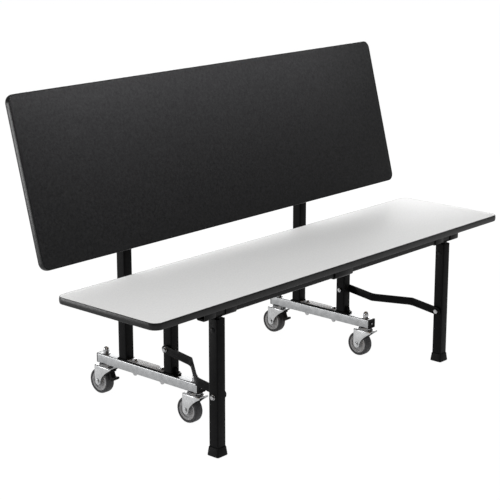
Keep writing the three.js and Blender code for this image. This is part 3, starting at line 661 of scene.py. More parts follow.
def cut_away(piece, cutter):
    """Cuts one piece's shape out of another."""
    cut = piece.modifiers.new("cut", "BOOLEAN")
    cut.operation = "DIFFERENCE"
    cut.object = cutter
    apply_modifier(piece, cut)
    bpy.data.objects.remove(cutter)


def rod_along_x(name, radius, low_x, high_x, centre, corners=24):
    """A round bar across the bench."""
    rod = add_turned(name, [(radius, 0), (radius, high_x - low_x)], corners)
    return set_down(rod, facing_right, (low_x, centre[0], centre[1]))


for side in sides:
    for end in ends:
        node = f"caster_fork_{end}_{side}"
        low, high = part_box(node)
        axle = pivots[f"wheel_{end}_{side}"]
        outer = (high.x - low.x) / 2 - axle_head
        inner = outer - fork_plate
        crown_under = high.z - fork_plate
        throat = axle.y - fork_boss
        rear = axle.y + fork_rear
        lip_z = crown_under - fork_lip
        outline = [(rear, high.z), (low.y, high.z), (low.y, lip_z)]
        for step in range(1, fork_curve_steps):
            t = step / fork_curve_steps
            curve_y = (1 - t) ** 2 * low.y + 2 * t * (1 - t) * (throat - fork_plate) + t ** 2 * throat
            curve_z = (1 - t) ** 2 * lip_z + 2 * t * (1 - t) * throat_height + t ** 2 * axle.z
            outline.append((curve_y, curve_z))
        outline += arc((axle.y, axle.z), fork_boss, 180, 360, steps=14)
        outline.append((rear, axle.z + fork_boss))
        fork = add_plate("fork", outline, axle.x - outer, axle.x + outer)
        open_edit(fork)
        pick_edges(fork, lambda middle, along: abs(along.y) > along_axis and middle.z > high.z - near)
        bpy.ops.mesh.bevel(offset=fork_bend, segments=5, affect="EDGES")
        close_edit()
        well_low = (axle.x - inner, low.y - clearance, low.z - clearance)
        well_high = (axle.x + inner, high.y + clearance, crown_under)
        cut_away(fork, add_block("well", well_low, well_high))
        swivel = pivots[f"swivel_{end}_{side}"]
        bore_radius = stem_radius + 2 * fit_gap
        bore = add_turned("bore", [(bore_radius, 0), (bore_radius, clearance)], corners=32)
        cut_away(fork, set_down(bore, (0, 0, 0), (swivel.x, swivel.y, crown_under - clearance / 2)))
        soften(fork, fork_edge, segments=2, angle=50)
        pieces = [fork, rod_along_x("axle", axle_radius, axle.x - outer, axle.x + outer, (axle.y, axle.z))]
        for turn, face_x in ((facing_left, axle.x - outer), (facing_right, axle.x + outer)):
            head = join_pieces("axle_head", [
                disc("washer", axle_washer_radius, 0, axle_washer_height),
                hexagon("head", axle_head_radius, axle_washer_height, axle_head, axle_head_chamfer),
            ])
            pieces.append(set_down(head, turn, (face_x, axle.y, axle.z)))
        fork = join_pieces(f"fork_{end}_{side}", pieces)
        fit_piece(fork, node, f"{end}_{side}_fork", plated)


# Wheels
# Each wheel is a moulded grey plastic hub with raised rings on its faces.
# A dark rubber tyre with round shoulders is moulded on to it.
wheel_half = 0.014
# Radius and depth below the face of the wheel, from the bore of the hub out to the tread
hub_steps = (
    (0.0042, 0.0000), (0.0102, 0.0000), (0.0108, 0.0006), (0.0108, 0.0048), (0.0140, 0.0052),
    (0.0146, 0.0038), (0.0166, 0.0038), (0.0172, 0.0054), (0.0222, 0.0054), (0.0230, 0.0028),
    (0.0256, 0.0024), (0.0262, 0.0016), (0.0288, 0.0014),
)
tyre_steps = (
    (0.0290, 0.0014), (0.0300, 0.0004), (0.0316, 0.0000), (0.0322, 0.0005), (0.0330, 0.0005),
    (0.0338, 0.0000), (0.0352, 0.0003), (0.0364, 0.0014), (0.0373, 0.0032), (0.0378, 0.0056),
    (0.0380, 0.0086),
)
grey_plastic = Finish("moulded_grey_plastic")
grey_plastic.colour(clouds, 150, (0.20, 0.20, 0.205), (0.28, 0.28, 0.285))
grey_plastic.roughness(clouds, 320, 0.36, 0.55)
grey_plastic.relief(specks, 2400, 0.00005, 0.3)
rubber = Finish("dark_rubber", specular=0.4)
rubber.colour(clouds, 90, (0.022, 0.022, 0.024), (0.040, 0.040, 0.043))
rubber.roughness(clouds, 240, 0.55, 0.78)
rubber.relief(clouds, 900, 0.00012, 0.4)


def wheel_loops(steps):
    """Loops of a closed ring with like faces, from steps of radius and depth below a face."""
    loops = [(radius, wheel_half - depth) for radius, depth in steps]
    loops += [(radius, -offset) for radius, offset in reversed(loops)]
    return loops + [loops[0]]


for side in sides:
    for end in ends:
        axle = pivots[f"wheel_{end}_{side}"]
        body = f"{end}_{side}_wheel"
        hub = add_turned(f"hub_{end}_{side}", wheel_loops(hub_steps), corners=72, closed=True)
        set_down(hub, facing_right, axle)
        fit_piece(hub, f"wheel_hub_{end}_{side}", body, grey_plastic)
        tyre = add_turned(f"rubber_tyre_{end}_{side}", wheel_loops(tyre_steps), corners=96, closed=True)
        set_down(tyre, facing_right, axle)
        fit_piece(tyre, f"tyre_{end}_{side}", body, rubber)


# Brake pedals
# A moulded lever turns on a cross pin between the cheeks of each rear fork.
# Its toe points forward and a little up for a shoe, and pressing it holds the wheel.
pedal_half_width = 0.009
pedal_hub_radius = 0.0045
pedal_hub_edge = 0.0005
pedal_round = 0.0009
# Y and Z from the pivot: down the back of the lever, out under the toe and back along its top
pedal_outline = (
    (0.0036, 0.0006), (0.0022, -0.0040), (-0.0056, -0.0262), (-0.0072, -0.0284), (-0.0100, -0.0278),
    (-0.0204, -0.0222), (-0.0236, -0.0196), (-0.0239, -0.0170), (-0.0230, -0.0147), (-0.0206, -0.0143),
    (-0.0120, -0.0163), (-0.0092, -0.0150), (-0.0072, -0.0112), (-0.0040, -0.0006), (-0.0022, 0.0036),
    (0.0010, 0.0042),
)
for side in sides:
    node = f"brake_pedal_{side}"
    pivot = pivots[f"brake_pedal_{side}_press"]
    low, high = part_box(node)
    outline = [(pivot.y + y, pivot.z + z) for y, z in pedal_outline]
    lever = add_plate("lever", outline, pivot.x - pedal_half_width, pivot.x + pedal_half_width)
    soften(lever, pedal_round, segments=3, angle=30)
    hub_low = low.x + fork_plate + fit_gap
    hub_high = high.x - fork_plate - fit_gap
    hub = rod_along_x("hub", pedal_hub_radius, hub_low, hub_high, (pivot.y, pivot.z))
    soften(hub, pedal_hub_edge, segments=2)
    pedal = join_pieces(f"pedal_{side}", [lever, hub])
    fit_piece(pedal, node, f"{side}_pedal", black_plastic)


# Posts
# Two posts of square steel tube stand on each rail, each welded to a foot plate that is bolted down.
# They are powder coated black, a gusset stiffens the front foot and a grey strip lies on the feet.
tube_size = 0.03175
tube_half = tube_size / 2
tube_corner = 0.0035
tube_wall = 0.002
foot_thickness = 0.005
foot_corner = 0.004
foot_edge = 0.0006
strip_height = 0.001
strip_inset = 0.0012
weld_leg = 0.0035
weld_waist = 0.0014
weld_overlap = 0.001
gusset_half = 0.004
gusset_height = 0.019
gusset_toe = 0.010
gusset_heel = 0.006
gusset_inset = 0.001
gusset_nose = 0.008
gusset_edge = 0.001
corner_reach = math.sqrt(0.5)
corner_lean = 0.3
black_paint = Finish("black_powder_coat", specular=0.05)
black_paint.colour(clouds, 50, (0.002, 0.002, 0.0022), (0.004, 0.004, 0.0043))
black_paint.roughness(clouds, 130, 0.34, 0.5)
black_paint.relief(clouds, 1100, 0.00010, 0.35)
post_y = {"front": pivots["seat_fold"].y, "rear": pivots["top_tilt"].y}


def square_loft(name, corner_radius, sections):
    """A square piece that swells and narrows: sections of width and height, with round upright corners."""
    loops = [(width * corner_reach, height) for width, height in sections]
    piece = add_turned(name, loops, corners=4)
    set_down(piece, (0, 0, quarter / 2), (0, 0, 0))

    def upright_corner(middle, along):
        return abs(middle.x) > near and abs(middle.y) > near and abs(along.z) > corner_lean

    open_edit(piece)
    pick_edges(piece, upright_corner)
    bpy.ops.mesh.bevel(offset=corner_radius, segments=4, affect="EDGES")
    close_edit()
    return piece


for side in sides:
    for end in ends:
        node = f"{end}_post_{side}"
        low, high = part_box(node)
        centre_x = (low.x + high.x) / 2
        centre_y = post_y[end]
        foot_top = low.z + foot_thickness
        tube_low = (centre_x - tube_half, centre_y - tube_half, foot_top)
        tube_high = (centre_x + tube_half, centre_y + tube_half, high.z)
        tube = square_tube("tube", tube_low, tube_high, z_axis, tube_corner, tube_wall)
        foot = add_block("foot", low, (high.x, high.y, foot_top - strip_height))
        heel_y = low.y if end == "front" else high.y
        open_edit(foot)
        pick_edges(foot, lambda middle, along: abs(along.z) > along_axis and abs(middle.y - heel_y) < near)
        bpy.ops.mesh.bevel(offset=foot_corner, segments=5, affect="EDGES")
        close_edit()
        soften(foot, foot_edge, segments=2)
        weld_sections = [
            (tube_size + 2 * weld_leg, foot_top),
            (tube_size + weld_waist, foot_top + weld_leg / 2),
            (tube_size - weld_overlap, foot_top + weld_leg),
        ]
        weld = square_loft("weld", tube_corner, weld_sections)
        set_down(weld, (0, 0, 0), (centre_x, centre_y, 0))
        pieces = [tube, foot, weld]
        if end == "front":
            root = centre_y - tube_half + weld_overlap
            nose = low.y + gusset_inset
            outline = [(root, foot_top), (nose, foot_top), (nose, foot_top + gusset_heel)]
            outline += arc((nose + gusset_nose, foot_top + gusset_toe), gusset_nose, 180, 90, steps=6)
            outline.append((root, foot_top + gusset_height))
            gusset = add_plate("gusset", outline, centre_x - gusset_half, centre_x + gusset_half)
            soften(gusset, gusset_edge, segments=2)
            pieces.append(gusset)
        post = join_pieces(f"{end}_tube_{side}", pieces)
        fit_piece(post, node, "carriages", black_paint)
    strip_low = (low.x + strip_inset, post_y["front"] + tube_half, foot_top - strip_height)
    strip_high = (high.x - strip_inset, post_y["rear"] - tube_half, foot_top)
    strip = add_block(f"foot_strip_{side}", strip_low, strip_high)
    soften(strip, strip_height / 4, segments=2)
    fit_piece(strip, None, "carriages", grey_plastic)


# Foot bolts
# A zinc plated bolt holds each foot plate to its rail.
# Its hexagon head lies on a washer on the foot, and a domed nut closes it under the rail.
bolt_radius = 0.004
bolt_head_radius = 0.0075
bolt_head_height = 0.006
bolt_chamfer = 0.0008
foot_washer_rim = 0.0015
foot_washer_height = 0.0012
foot_nut_radius = 0.008
foot_nut_chamfer = 0.0003
foot_dome_radius = 0.00672
foot_dome_height = 0.007
shank_inset = 0.002
for side in sides:
    rail_low, rail_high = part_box(f"caster_rail_{side}")
    for end in ends:
        node = f"foot_bolt_{end}_{side}"
        low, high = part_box(node)
        head_base = high.z - bolt_head_height
        dome_base = low.z + foot_dome_height
        washer_top = head_base + foot_washer_height
        pieces = [
            disc("washer", bolt_head_radius + foot_washer_rim, head_base, washer_top),
            hexagon("head", bolt_head_radius, washer_top, high.z, bolt_chamfer),
            add_turned("shank", [(bolt_radius, low.z + shank_inset), (bolt_radius, head_base)], corners=20),
            hexagon("nut", foot_nut_radius, dome_base, rail_low.z - fit_gap, foot_nut_chamfer),
        ]
        dome = add_turned("dome", dome_loops(foot_dome_radius, 0, foot_dome_height), corners=32)
        pieces.append(set_down(dome, (math.pi, 0, 0), (0, 0, dome_base)))
        bolt = join_pieces(f"bolt_{end}_{side}", pieces)
        centre = (low + high) / 2
        set_down(bolt, (0, 0, 0), (centre.x, centre.y, 0))
        fit_piece(bolt, node, "carriages", polished)


# Seat
# The seat is a particle board with a pale grey laminate pressed on its top.
# A black vinyl band is driven into a groove in its edge all round, with its rims rounded over.
seat_corner = 0.022
edging_width = 0.003
edging_round = 0.0009
edging_bulge = 0.0012
edging_levels = (-1, -0.6, -0.2, 0.2, 0.6, 1)
laminate_round = 0.0002
chip_board = Finish("chip_board", specular=0.2)
chip_tone = chip_board.colour(clouds, 160, (0.30, 0.20, 0.11), (0.46, 0.33, 0.20))
chip_board.flecked(chip_tone, specks, 420, (0.60, 0.47, 0.31), 0.55)
chip_board.roughness(clouds, 300, 0.70, 0.90)
chip_board.relief(specks, 420, 0.0002, 0.4)
pale_laminate = Finish("pale_laminate")
pale_tone = pale_laminate.colour(clouds, 220, (0.72, 0.72, 0.715), (0.80, 0.80, 0.795))
pale_laminate.flecked(pale_tone, specks, 800, (0.64, 0.64, 0.635), 0.30)
pale_laminate.roughness(clouds, 90, 0.48, 0.60)
pale_laminate.relief(clouds, 1500, 0.00005, 0.3)
vinyl = Finish("black_vinyl", specular=0.2)
vinyl.colour(clouds, 60, (0.004, 0.004, 0.0042), (0.008, 0.008, 0.0083))
vinyl.roughness(clouds, 180, 0.26, 0.38)
vinyl.relief(clouds, 900, 0.00006, 0.3)


def add_sheet(name, low, high, corner):
    """A flat board or sheet with round corners."""
    piece = add_block(name, low, high)
    round_long_edges(piece, z_axis, corner, segments=12)
    return piece


def add_edging(name, low, high, corner):
    """A band round a board, with a bulged face and its rims rounded over."""
    band = add_sheet(name, low, high, corner)
    low = Vector(low)
    high = Vector(high)
    middle = (low + high) / 2
    half_x, half_y, half_z = (high - low) / 2
    open_edit(band)
    pick_faces(band, lambda centre, normal: abs(normal.z) > along_axis)
    bpy.ops.mesh.delete(type="FACE")
    for rise in edging_levels[1:-1]:
        bpy.ops.mesh.select_all(action="SELECT")
        bpy.ops.mesh.bisect(plane_co=(0, 0, middle.z + rise * half_z), plane_no=(0, 0, 1))
    for rise in edging_levels:
        level = middle.z + rise * half_z
        pick_edges(band, lambda at, along: abs(along.z) < 1 - along_axis and abs(at.z - level) < near)
        shrink = edging_bulge * rise ** 2
        growth = (1 - shrink / half_x, 1 - shrink / half_y, 1)
        bpy.ops.transform.resize(value=growth, center_override=middle)
    close_edit()
    thicken(band, edging_width)
    soften(band, edging_round, segments=4)
    return band


board = add_sheet("seat_core", *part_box("seat_board"), seat_corner)
soften(board, laminate_round, segments=2)
fit_piece(board, "seat_board", "seat", chip_board)
sheet = add_sheet("seat_face", *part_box("seat_laminate"), seat_corner)
soften(sheet, laminate_round, segments=2)
fit_piece(sheet, "seat_laminate", "seat", pale_laminate)
band = add_edging("seat_band", *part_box("seat_edging"), seat_corner + edging_width + fit_gap)
fit_piece(band, "seat_edging", "seat", vinyl)


# Seat stiffener, saddle and leg brackets
# A square steel tube runs under the front of the seat, held to the board by a saddle and the leg brackets.
# Saddle and brackets are bent from plate round the tube; a tongue under each bracket carries a leg's pin.
stiffener_corner = 0.0035
stiffener_wall = 0.0016
saddle_wall = 0.004
saddle_flange = 0.018
bracket_wall = 0.0025
bracket_flange = 0.022
notch_half = 0.019
notch_lip = 0.003
tongue_half = 0.004
tongue_radius = 0.012625
pin_radius = 0.004
leg_pin_head = 0.007
pin_head_height = 0.003
running_gap = 0.0004
plate_edge = 0.0005
gloss_paint = Finish("black_gloss_paint", specular=0.1)
gloss_paint.colour(clouds, 50, (0.003, 0.003, 0.0032), (0.006, 0.006, 0.0063))
gloss_paint.roughness(clouds, 130, 0.24, 0.36)
gloss_paint.relief(clouds, 1100, 0.00008, 0.3)
tube_low, tube_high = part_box("seat_stiffener_tube")
stiffener = square_tube("stiffener", tube_low, tube_high, x_axis, stiffener_corner, stiffener_wall)
fit_piece(stiffener, "seat_stiffener_tube", "seat", gloss_paint)


def add_trough(name, low_x, high_x, wall, flange):
    """Plate bent round the stiffener tube, with a flange against the board at the back."""
    front = tube_low.y - fit_gap
    back = tube_high.y + fit_gap
    floor = tube_low.z - fit_gap
    top = tube_high.z
    bend = stiffener_corner
    outer = bend + wall
    outline = [(front - wall, top)]
    outline += arc((front - wall + outer, floor - wall + outer), outer, 180, 270, steps=5)
    outline += arc((back + wall - outer, floor - wall + outer), outer, 270, 360, steps=5)
    outline += [(back + wall, top - wall), (back + wall + flange, top - wall), (back + wall + flange, top)]
    outline.append((back, top))
    outline += arc((back - bend, floor + bend), bend, 360, 270, steps=5)
    outline += arc((front + bend, floor + bend), bend, 270, 180, steps=5)
    outline.append((front, top))
    return add_plate(name, outline, low_x, high_x)


def pin_along_x(radius, head_radius, head_height, half_span, centre):
    """A pin across the bench with a low round head at each end."""
    pin = rod_along_x("pin", radius, centre.x - half_span, centre.x + half_span, (centre.y, centre.z))
    heads = []
    for turn, face_x in ((facing_left, centre.x - half_span), (facing_right, centre.x + half_span)):
        head = add_turned("pin_head", dome_loops(head_radius, 0, head_height), corners=32)
        heads.append(set_down(head, turn, (face_x, centre.y, centre.z)))
    return [pin, *heads]


low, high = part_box("stiffener_saddle")
saddle = add_trough("saddle", low.x, high.x, saddle_wall, saddle_flange)
soften(saddle, plate_edge, segments=2)
fit_piece(saddle, "stiffener_saddle", "seat", gloss_paint)
for side in sides:
    node = f"leg_bracket_{side}"
    low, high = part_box(node)
    pivot = pivots[f"leg_fold_{side}"]
    centre_x = (low.x + high.x) / 2
    bracket = add_trough("bracket", low.x, high.x, bracket_wall, bracket_flange)
    floor = tube_low.z - fit_gap
    notch_low = (centre_x - notch_half, low.y - clearance, floor)
    notch_high = (centre_x + notch_half, tube_low.y - fit_gap / 2, tube_high.z - notch_lip)
    cut_away(bracket, add_block("notch", notch_low, notch_high))
    soften(bracket, plate_edge, segments=2)
    tongue_top = floor - bracket_wall / 2
    outline = [(pivot.y + tongue_radius, tongue_top), (pivot.y - tongue_radius, tongue_top)]
    outline += arc((pivot.y, pivot.z), tongue_radius, 180, 360, steps=14)
    tongue = add_plate("tongue", outline, centre_x - tongue_half, centre_x + tongue_half)
    centre = Vector((centre_x, pivot.y, pivot.z))
    pin = pin_along_x(pin_radius, leg_pin_head, pin_head_height, tube_half + running_gap, centre)
    bracket = join_pieces(f"bracket_{side}", [bracket, tongue, *pin])
    fit_piece(bracket, node, "seat", gloss_paint)


# Seat hinges
# A plate screwed under the board carries two ears astride the top of each front post.
# A riveted pin goes through the ears and the post, and the seat folds up on it.
hinge_plate = 0.003
hinge_ear_half = 0.014
hinge_pin_head = 0.0075
ear_gap = 0.0008
screw_radius = 0.0042
screw_height = 0.002
screw_inset = 0.008


def add_ears(outline, centre_x):
    """Two like plates astride a post, with an outline of Y and Z."""
    inner = tube_half + ear_gap
    ears = []
    for sign in sides.values():
        faces = sorted((centre_x + sign * inner, centre_x + sign * (inner + hinge_plate)))
        ears.append(add_plate("ear", outline, *faces))
    return ears


def screw_heads(low, high, face_z):
    """Four round screw heads under the corners of a plate."""
    heads = []
    for x in (low.x + screw_inset, high.x - screw_inset):
        for y in (low.y + screw_inset, high.y - screw_inset):
            head = add_turned("screw", dome_loops(screw_radius, 0, screw_height), corners=24)
            heads.append(set_down(head, (math.pi, 0, 0), (x, y, face_z)))
    return heads


for side in sides:
    node = f"seat_hinge_{side}"
    low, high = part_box(node)
    centre = Vector(((low.x + high.x) / 2, pivots["seat_fold"].y, pivots["seat_fold"].z))
    plate_low = high.z - hinge_plate
    plate = add_block("plate", (low.x, low.y, plate_low), high)
    round_long_edges(plate, z_axis, foot_corner)
    ear_top = plate_low + plate_edge
    outline = [(centre.y + hinge_ear_half, ear_top), (centre.y - hinge_ear_half, ear_top)]
    outline += arc((centre.y, centre.z), hinge_ear_half, 180, 360, steps=16)
    pieces = [plate, *add_ears(outline, centre.x)]
    for piece in pieces:
        soften(piece, plate_edge, segments=2)
    half_span = tube_half + ear_gap + hinge_plate
    pieces += pin_along_x(pin_radius, hinge_pin_head, pin_head_height, half_span, centre)
    pieces += screw_heads(low, high, plate_low)
    hinge = join_pieces(f"hinge_{side}", pieces)
    fit_piece(hinge, node, "seat", black_paint)


# Legs and boots
# Each front leg is a square tube, slotted at the back of its top end for the bracket's tongue.
# A flared boot of moulded plastic is pressed on to its foot.
leg_edge = 0.0003
boot_floor = 0.006
boot_corner = 0.0045
boot_wall = 0.0012
# Width and height added to those of the sole, and of the collar at the boot's top
boot_sole_steps = ((-0.0016, 0), (0, 0.0014), (-0.0004, 0.0032))
boot_collar_steps = ((0.0006, -0.0014), (0, -0.0006), (-0.0010, 0))
for side in sides:
    low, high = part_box(f"leg_{side}")
    pivot = pivots[f"leg_fold_{side}"]
    centre_x = (low.x + high.x) / 2
    leg = square_tube(f"leg_tube_{side}", low, high, z_axis, tube_corner, tube_wall)
    tongue_slot = tongue_half + ear_gap
    slot_low = (centre_x - tongue_slot, pivot.y, pivot.z - tongue_radius - ear_gap)
    slot_high = (centre_x + tongue_slot, high.y + clearance, high.z + clearance)
    cut_away(leg, add_block("slot", slot_low, slot_high))
    soften(leg, leg_edge, segments=2, angle=60)
    fit_piece(leg, f"leg_{side}", f"{side}_leg", black_paint)

    boot_low, boot_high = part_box(f"boot_{side}")
    sole = boot_high.x - boot_low.x
    height = boot_high.z - boot_low.z
    collar = tube_size + 2 * (fit_gap + boot_wall)
    sections = [(sole + width, rise) for width, rise in boot_sole_steps]
    sections += [(collar + width, height + rise) for width, rise in boot_collar_steps]
    boot = square_loft(f"leg_boot_{side}", boot_corner, sections)
    socket_half = tube_half + fit_gap
    socket_high = (socket_half, socket_half, height + clearance)
    socket = add_block("socket", (-socket_half, -socket_half, boot_floor), socket_high)
    round_long_edges(socket, z_axis, tube_corner)
    cut_away(boot, socket)
    set_down(boot, (0, 0, 0), (centre_x, pivot.y, boot_low.z))
    fit_piece(boot, f"boot_{side}", f"{side}_leg", black_plastic)


# Link bars and their bolts
# A flat steel bar, bent twice, joins each leg to its front post and keeps it upright as the seat folds.
# It turns on a zinc plated bolt at each end, between a head or nut and a collar.
link_width = 0.024
link_thickness = 0.005
link_bend = 0.012
link_bend_from_post = 0.100
link_bend_from_leg = 0.095
link_post_offset = 0.022125
link_leg_offset = 0.020525
bolt_nut_height = 0.0056
bolt_end = 0.0014
bolt_washer_rim = 0.0011
collar_radius = 0.008


def cross_bolt(name, centre, sign, head_face, nut_face, radius, head_radius, collar=None):
    """A bolt across the bench, its head to the side of sign, with faces as distances from its centre.

    A collar gives its near face, its far face and 1 for the head's side or -1 for the nut's.
    """
    head_turn = facing_right if sign > 0 else facing_left
    nut_turn = facing_left if sign > 0 else facing_right
    far = nut_face + bolt_nut_height + bolt_end
    shank_ends = sorted((centre.x + sign * head_face, centre.x - sign * far))
    pieces = [rod_along_x("shank", radius, *shank_ends, (centre.y, centre.z))]
    head = join_pieces("head", [
        disc("washer", head_radius, 0, washer_height),
        hexagon("head", head_radius - bolt_washer_rim, washer_height, bolt_head_height, bolt_chamfer),
    ])
    pieces.append(set_down(head, head_turn, (centre.x + sign * head_face, centre.y, centre.z)))
    nut = hexagon("nut", head_radius, 0, bolt_nut_height, bolt_chamfer)
    pieces.append(set_down(nut, nut_turn, (centre.x - sign * nut_face, centre.y, centre.z)))
    if collar:
        near_face, far_face, way = collar
        ring = disc("collar", collar_radius, 0, far_face - near_face)
        ring_turn = head_turn if way > 0 else nut_turn
        pieces.append(set_down(ring, ring_turn, (centre.x + sign * way * near_face, centre.y, centre.z)))
    return join_pieces(name, pieces)


def pick_edges_at(piece, axis, places):
    """Selects the edges along an axis that lie at one of some places on X."""
    def wanted(middle, along):
        return abs(along[axis]) > along_axis and min(abs(middle.x - place) for place in places) < near

    pick_edges(piece, wanted)


tube_face = tube_half + fit_gap
for side, sign in sides.items():
    post_pivot = pivots[f"link_swing_{side}"].copy()
    post_low, post_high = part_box(f"front_post_{side}")
    post_pivot.x = (post_low.x + post_high.x) / 2
    leg_low, leg_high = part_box(f"leg_{side}")
    bolt_low, bolt_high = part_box(f"link_leg_bolt_{side}")
    leg_pivot = (bolt_low + bolt_high) / 2
    leg_pivot.x = (leg_low.x + leg_high.x) / 2

    outer_face = link_post_offset + link_thickness / 2 + fit_gap
    collar = (tube_face, link_post_offset - link_thickness / 2 - fit_gap, 1)
    bolt = cross_bolt(
        f"post_bolt_{side}", post_pivot, sign, outer_face, tube_face, bolt_radius, bolt_head_radius, collar
    )
    fit_piece(bolt, f"link_post_bolt_{side}", "carriages", polished)

    outer_face = link_leg_offset + link_thickness / 2 + fit_gap
    collar = (tube_face, link_leg_offset - link_thickness / 2 - fit_gap, -1)
    bolt = cross_bolt(
        f"leg_bolt_{side}", leg_pivot, sign, tube_face, outer_face, bolt_radius, bolt_head_radius, collar
    )
    fit_piece(bolt, f"link_leg_bolt_{side}", f"{side}_leg", polished)

    along = Vector((0, leg_pivot.y - post_pivot.y, leg_pivot.z - post_pivot.z))
    length = along.length
    step = (leg_pivot.x - post_pivot.x) * sign - link_leg_offset - link_post_offset
    half = link_width / 2
    link = add_block("link", (-half, -half, 0), (length + half, half, link_thickness))
    open_edit(link)
    bends = (link_bend_from_post, length - link_bend_from_leg)
    for bend in bends:
        bpy.ops.mesh.select_all(action="SELECT")
        bpy.ops.mesh.bisect(plane_co=(bend, 0, 0), plane_no=(1, 0, 0))
    pick_faces(link, lambda centre, normal: centre.x > length - link_bend_from_leg - near)
    bpy.ops.transform.translate(value=(0, 0, step))
    pick_edges_at(link, y_axis, bends)
    bpy.ops.mesh.bevel(offset=link_bend, segments=6, affect="EDGES")
    pick_edges_at(link, z_axis, (-half, length + half))
    bpy.ops.mesh.bevel(offset=half - near, segments=10, affect="EDGES")
    close_edit()
    hole_radius = bolt_radius + running_gap
    for hole_x, hole_z in ((0, 0), (length, step)):
        hole = add_turned("hole", [(hole_radius, -clearance), (hole_radius, 2 * clearance)], corners=32)
        cut_away(link, set_down(hole, (0, 0, 0), (hole_x, 0, hole_z)))
    soften(link, plate_edge, segments=2, angle=50)
    along.normalize()
    outward = Vector((sign, 0, 0))
    across = outward.cross(along)
    turn = Matrix((along, across, outward)).transposed().to_euler()
    start_x = post_pivot.x + sign * (link_post_offset - link_thickness / 2)
    set_down(link, turn, (start_x, post_pivot.y, post_pivot.z))
    name_piece(link, f"link_bar_{side}")
    fit_piece(link, f"link_{side}", f"{side}_link", black_paint)


# Tabletop
# The tabletop is a particle board like the seat's, with a charcoal laminate and the same black edge band.
# It is made level with its pivot at the origin, then leaned up behind the seat as a backrest.
top_width = 0.461
top_corner = 0.020
tilt = pivots["top_tilt"]
top_joint = next(joint for joint in frame["joints"] if joint["name"] == "top_tilt")
top_lean = math.radians(-top_joint["range_deg"][0])
seat_low, seat_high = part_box("seat_board")
board_thickness = seat_high.z - seat_low.z
sheet_low, sheet_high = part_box("seat_laminate")
sheet_thickness = sheet_high.z - sheet_low.z
low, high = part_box("top_board")
top_drop = (low.z - tilt.z + top_width / 2 * math.sin(top_lean)) / math.cos(top_lean)
charcoal = Finish("charcoal_laminate", specular=0.06)
charcoal_tone = charcoal.colour(clouds, 130, (0.0078, 0.0078, 0.0082), (0.016, 0.016, 0.0165))
charcoal.flecked(charcoal_tone, specks, 650, (0.040, 0.040, 0.041), 0.50)
charcoal.roughness(clouds, 70, 0.40, 0.55)
charcoal.relief(clouds, 1300, 0.00006, 0.35)


def lean_up(piece, x=0):
    """Leans a piece of the top, drawn level about the pivot, back to its place at rest."""
    return set_down(piece, (top_lean, 0, 0), (x, tilt.y, tilt.z))


half_x = (high.x - low.x) / 2
half_y = top_width / 2
board_top = top_drop + board_thickness
board = add_sheet("top_core", (-half_x, -half_y, top_drop), (half_x, half_y, board_top), top_corner)
soften(board, laminate_round, segments=2)
fit_piece(lean_up(board), "top_board", "tabletop", chip_board)
sheet_base = board_top + fit_gap
sheet_top = sheet_base + sheet_thickness
sheet = add_sheet("top_face", (-half_x, -half_y, sheet_base), (half_x, half_y, sheet_top), top_corner)
soften(sheet, laminate_round, segments=2)
fit_piece(lean_up(sheet), "top_laminate", "tabletop", charcoal)
reach = edging_width + fit_gap
band_low = (-half_x - reach, -half_y - reach, top_drop)
band = add_edging("top_band", band_low, (half_x + reach, half_y + reach, sheet_top), top_corner + reach)
fit_piece(lean_up(band), "top_edging", "tabletop", vinyl)


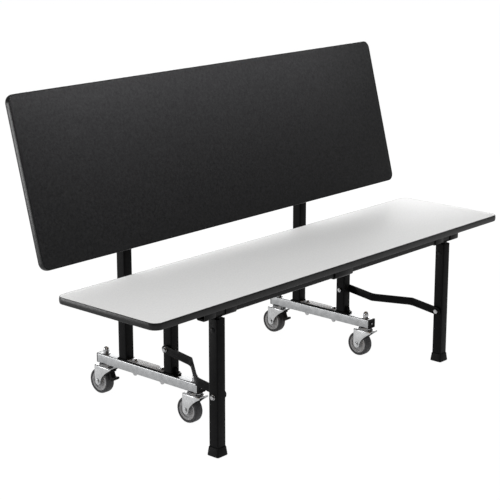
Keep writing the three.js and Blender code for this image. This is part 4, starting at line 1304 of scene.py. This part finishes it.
# Tilt brackets and pivot bolts
# A plate screwed under the top carries two ears astride each rear post, with round slots for the lock knob.
# The top turns on a bolt through the ears and the post.
tilt_plate_half_x = 0.045
tilt_plate_half_y = 0.090
tilt_ear_front = 0.060
tilt_ear_back = 0.022
lock_radius = 0.045
slot_half = 0.0044
slot_margin = 0.008
pivot_head_radius = 0.009
for side, sign in sides.items():
    node = f"tilt_bracket_{side}"
    low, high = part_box(node)
    centre_x = (low.x + high.x) / 2
    plate_top = top_drop - fit_gap
    plate_low = plate_top - hinge_plate
    plate = add_block(
        "plate",
        (-tilt_plate_half_x, -tilt_plate_half_y, plate_low),
        (tilt_plate_half_x, tilt_plate_half_y, plate_top),
    )
    round_long_edges(plate, z_axis, foot_corner)
    window_x = tube_half + ear_gap
    window_high = (window_x, tube_half, plate_top + clearance)
    cut_away(plate, add_block("window", (-window_x, -tube_half, 0), window_high))
    outline = [(tilt_ear_back, plate_low + plate_edge), (-tilt_ear_front, plate_low + plate_edge)]
    outline += arc((0, 0), lock_radius + slot_half + slot_margin, 180, 270, steps=16)
    outline += arc((0, 0), tilt_ear_back, 315, 360, steps=6)
    slot_start = 270 - math.degrees(top_lean)
    slot_end = arc((0, 0), lock_radius, slot_start, 270, steps=1)[0]
    slot_outline = arc((0, 0), lock_radius + slot_half, slot_start, 270, steps=16)
    slot_outline += arc((0, -lock_radius), slot_half, 270, 450, steps=10)[1:-1]
    slot_outline += arc((0, 0), lock_radius - slot_half, 270, slot_start, steps=16)
    slot_outline += arc(slot_end, slot_half, slot_start + 180, slot_start + 360, steps=10)[1:-1]
    ears = add_ears(outline, 0)
    for ear in ears:
        cut_away(ear, add_plate("slot", slot_outline, -tube_size, tube_size))
        hole = rod_along_x("hole", pin_radius + running_gap, -tube_size, tube_size, (0, 0), corners=32)
        cut_away(ear, hole)
    pieces = [plate, *ears]
    for piece in pieces:
        soften(piece, plate_edge, segments=2)
    plate_corner = Vector((tilt_plate_half_x, tilt_plate_half_y, 0))
    pieces += screw_heads(-plate_corner, plate_corner, plate_low)
    bracket = join_pieces(f"tilt_plate_{side}", pieces)
    fit_piece(lean_up(bracket, centre_x), node, "tabletop", black_paint)

    ear_face = tube_half + ear_gap + hinge_plate + fit_gap
    centre = Vector((centre_x, tilt.y, tilt.z))
    bolt = cross_bolt(f"pivot_bolt_{side}", centre, sign, ear_face, ear_face, pin_radius, pivot_head_radius)
    fit_piece(bolt, f"top_pivot_bolt_{side}", "carriages", polished)


# Lock knobs
# A five-lobed hand knob of moulded plastic clamps each tilt bracket to its post.
# Its steel stud passes through the bracket's round slot into the post.
knob_radius = 0.018
knob_lobe = 0.003
knob_lobes = 5
knob_height = 0.016
knob_round = 0.0028
knob_washer_radius = 0.011
knob_washer_height = 0.003
knob_stud_reach = 0.006
lobe_steps = 14
for side, sign in sides.items():
    node = f"lock_knob_{side}"
    pivot = pivots[f"lock_knob_{side}_turn"]
    low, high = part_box(f"rear_post_{side}")
    centre = Vector(((low.x + high.x) / 2, pivot.y, pivot.z))
    face = tube_half + ear_gap + hinge_plate + fit_gap
    grip = face + knob_washer_height
    outline = []
    for step in range(knob_lobes * lobe_steps):
        angle = 2 * math.pi * step / (knob_lobes * lobe_steps)
        radius = knob_radius - knob_lobe + knob_lobe * math.cos(knob_lobes * angle)
        outline.append((centre.y + radius * math.cos(angle), centre.z + radius * math.sin(angle)))
    grip_ends = sorted((centre.x + sign * grip, centre.x + sign * (grip + knob_height)))
    grip_piece = add_plate("grip", outline, *grip_ends)
    soften(grip_piece, knob_round, segments=4, angle=60)
    washer = disc("washer", knob_washer_radius, 0, knob_washer_height)
    set_down(washer, facing_right if sign > 0 else facing_left, (centre.x + sign * face, centre.y, centre.z))
    stud_ends = sorted((centre.x + sign * (tube_half - knob_stud_reach), centre.x + sign * grip))
    stud = rod_along_x("stud", pin_radius, *stud_ends, (centre.y, centre.z))
    knob = join_pieces(f"hand_knob_{side}", [grip_piece, washer, stud])
    fit_piece(knob, node, f"{side}_knob", black_plastic)
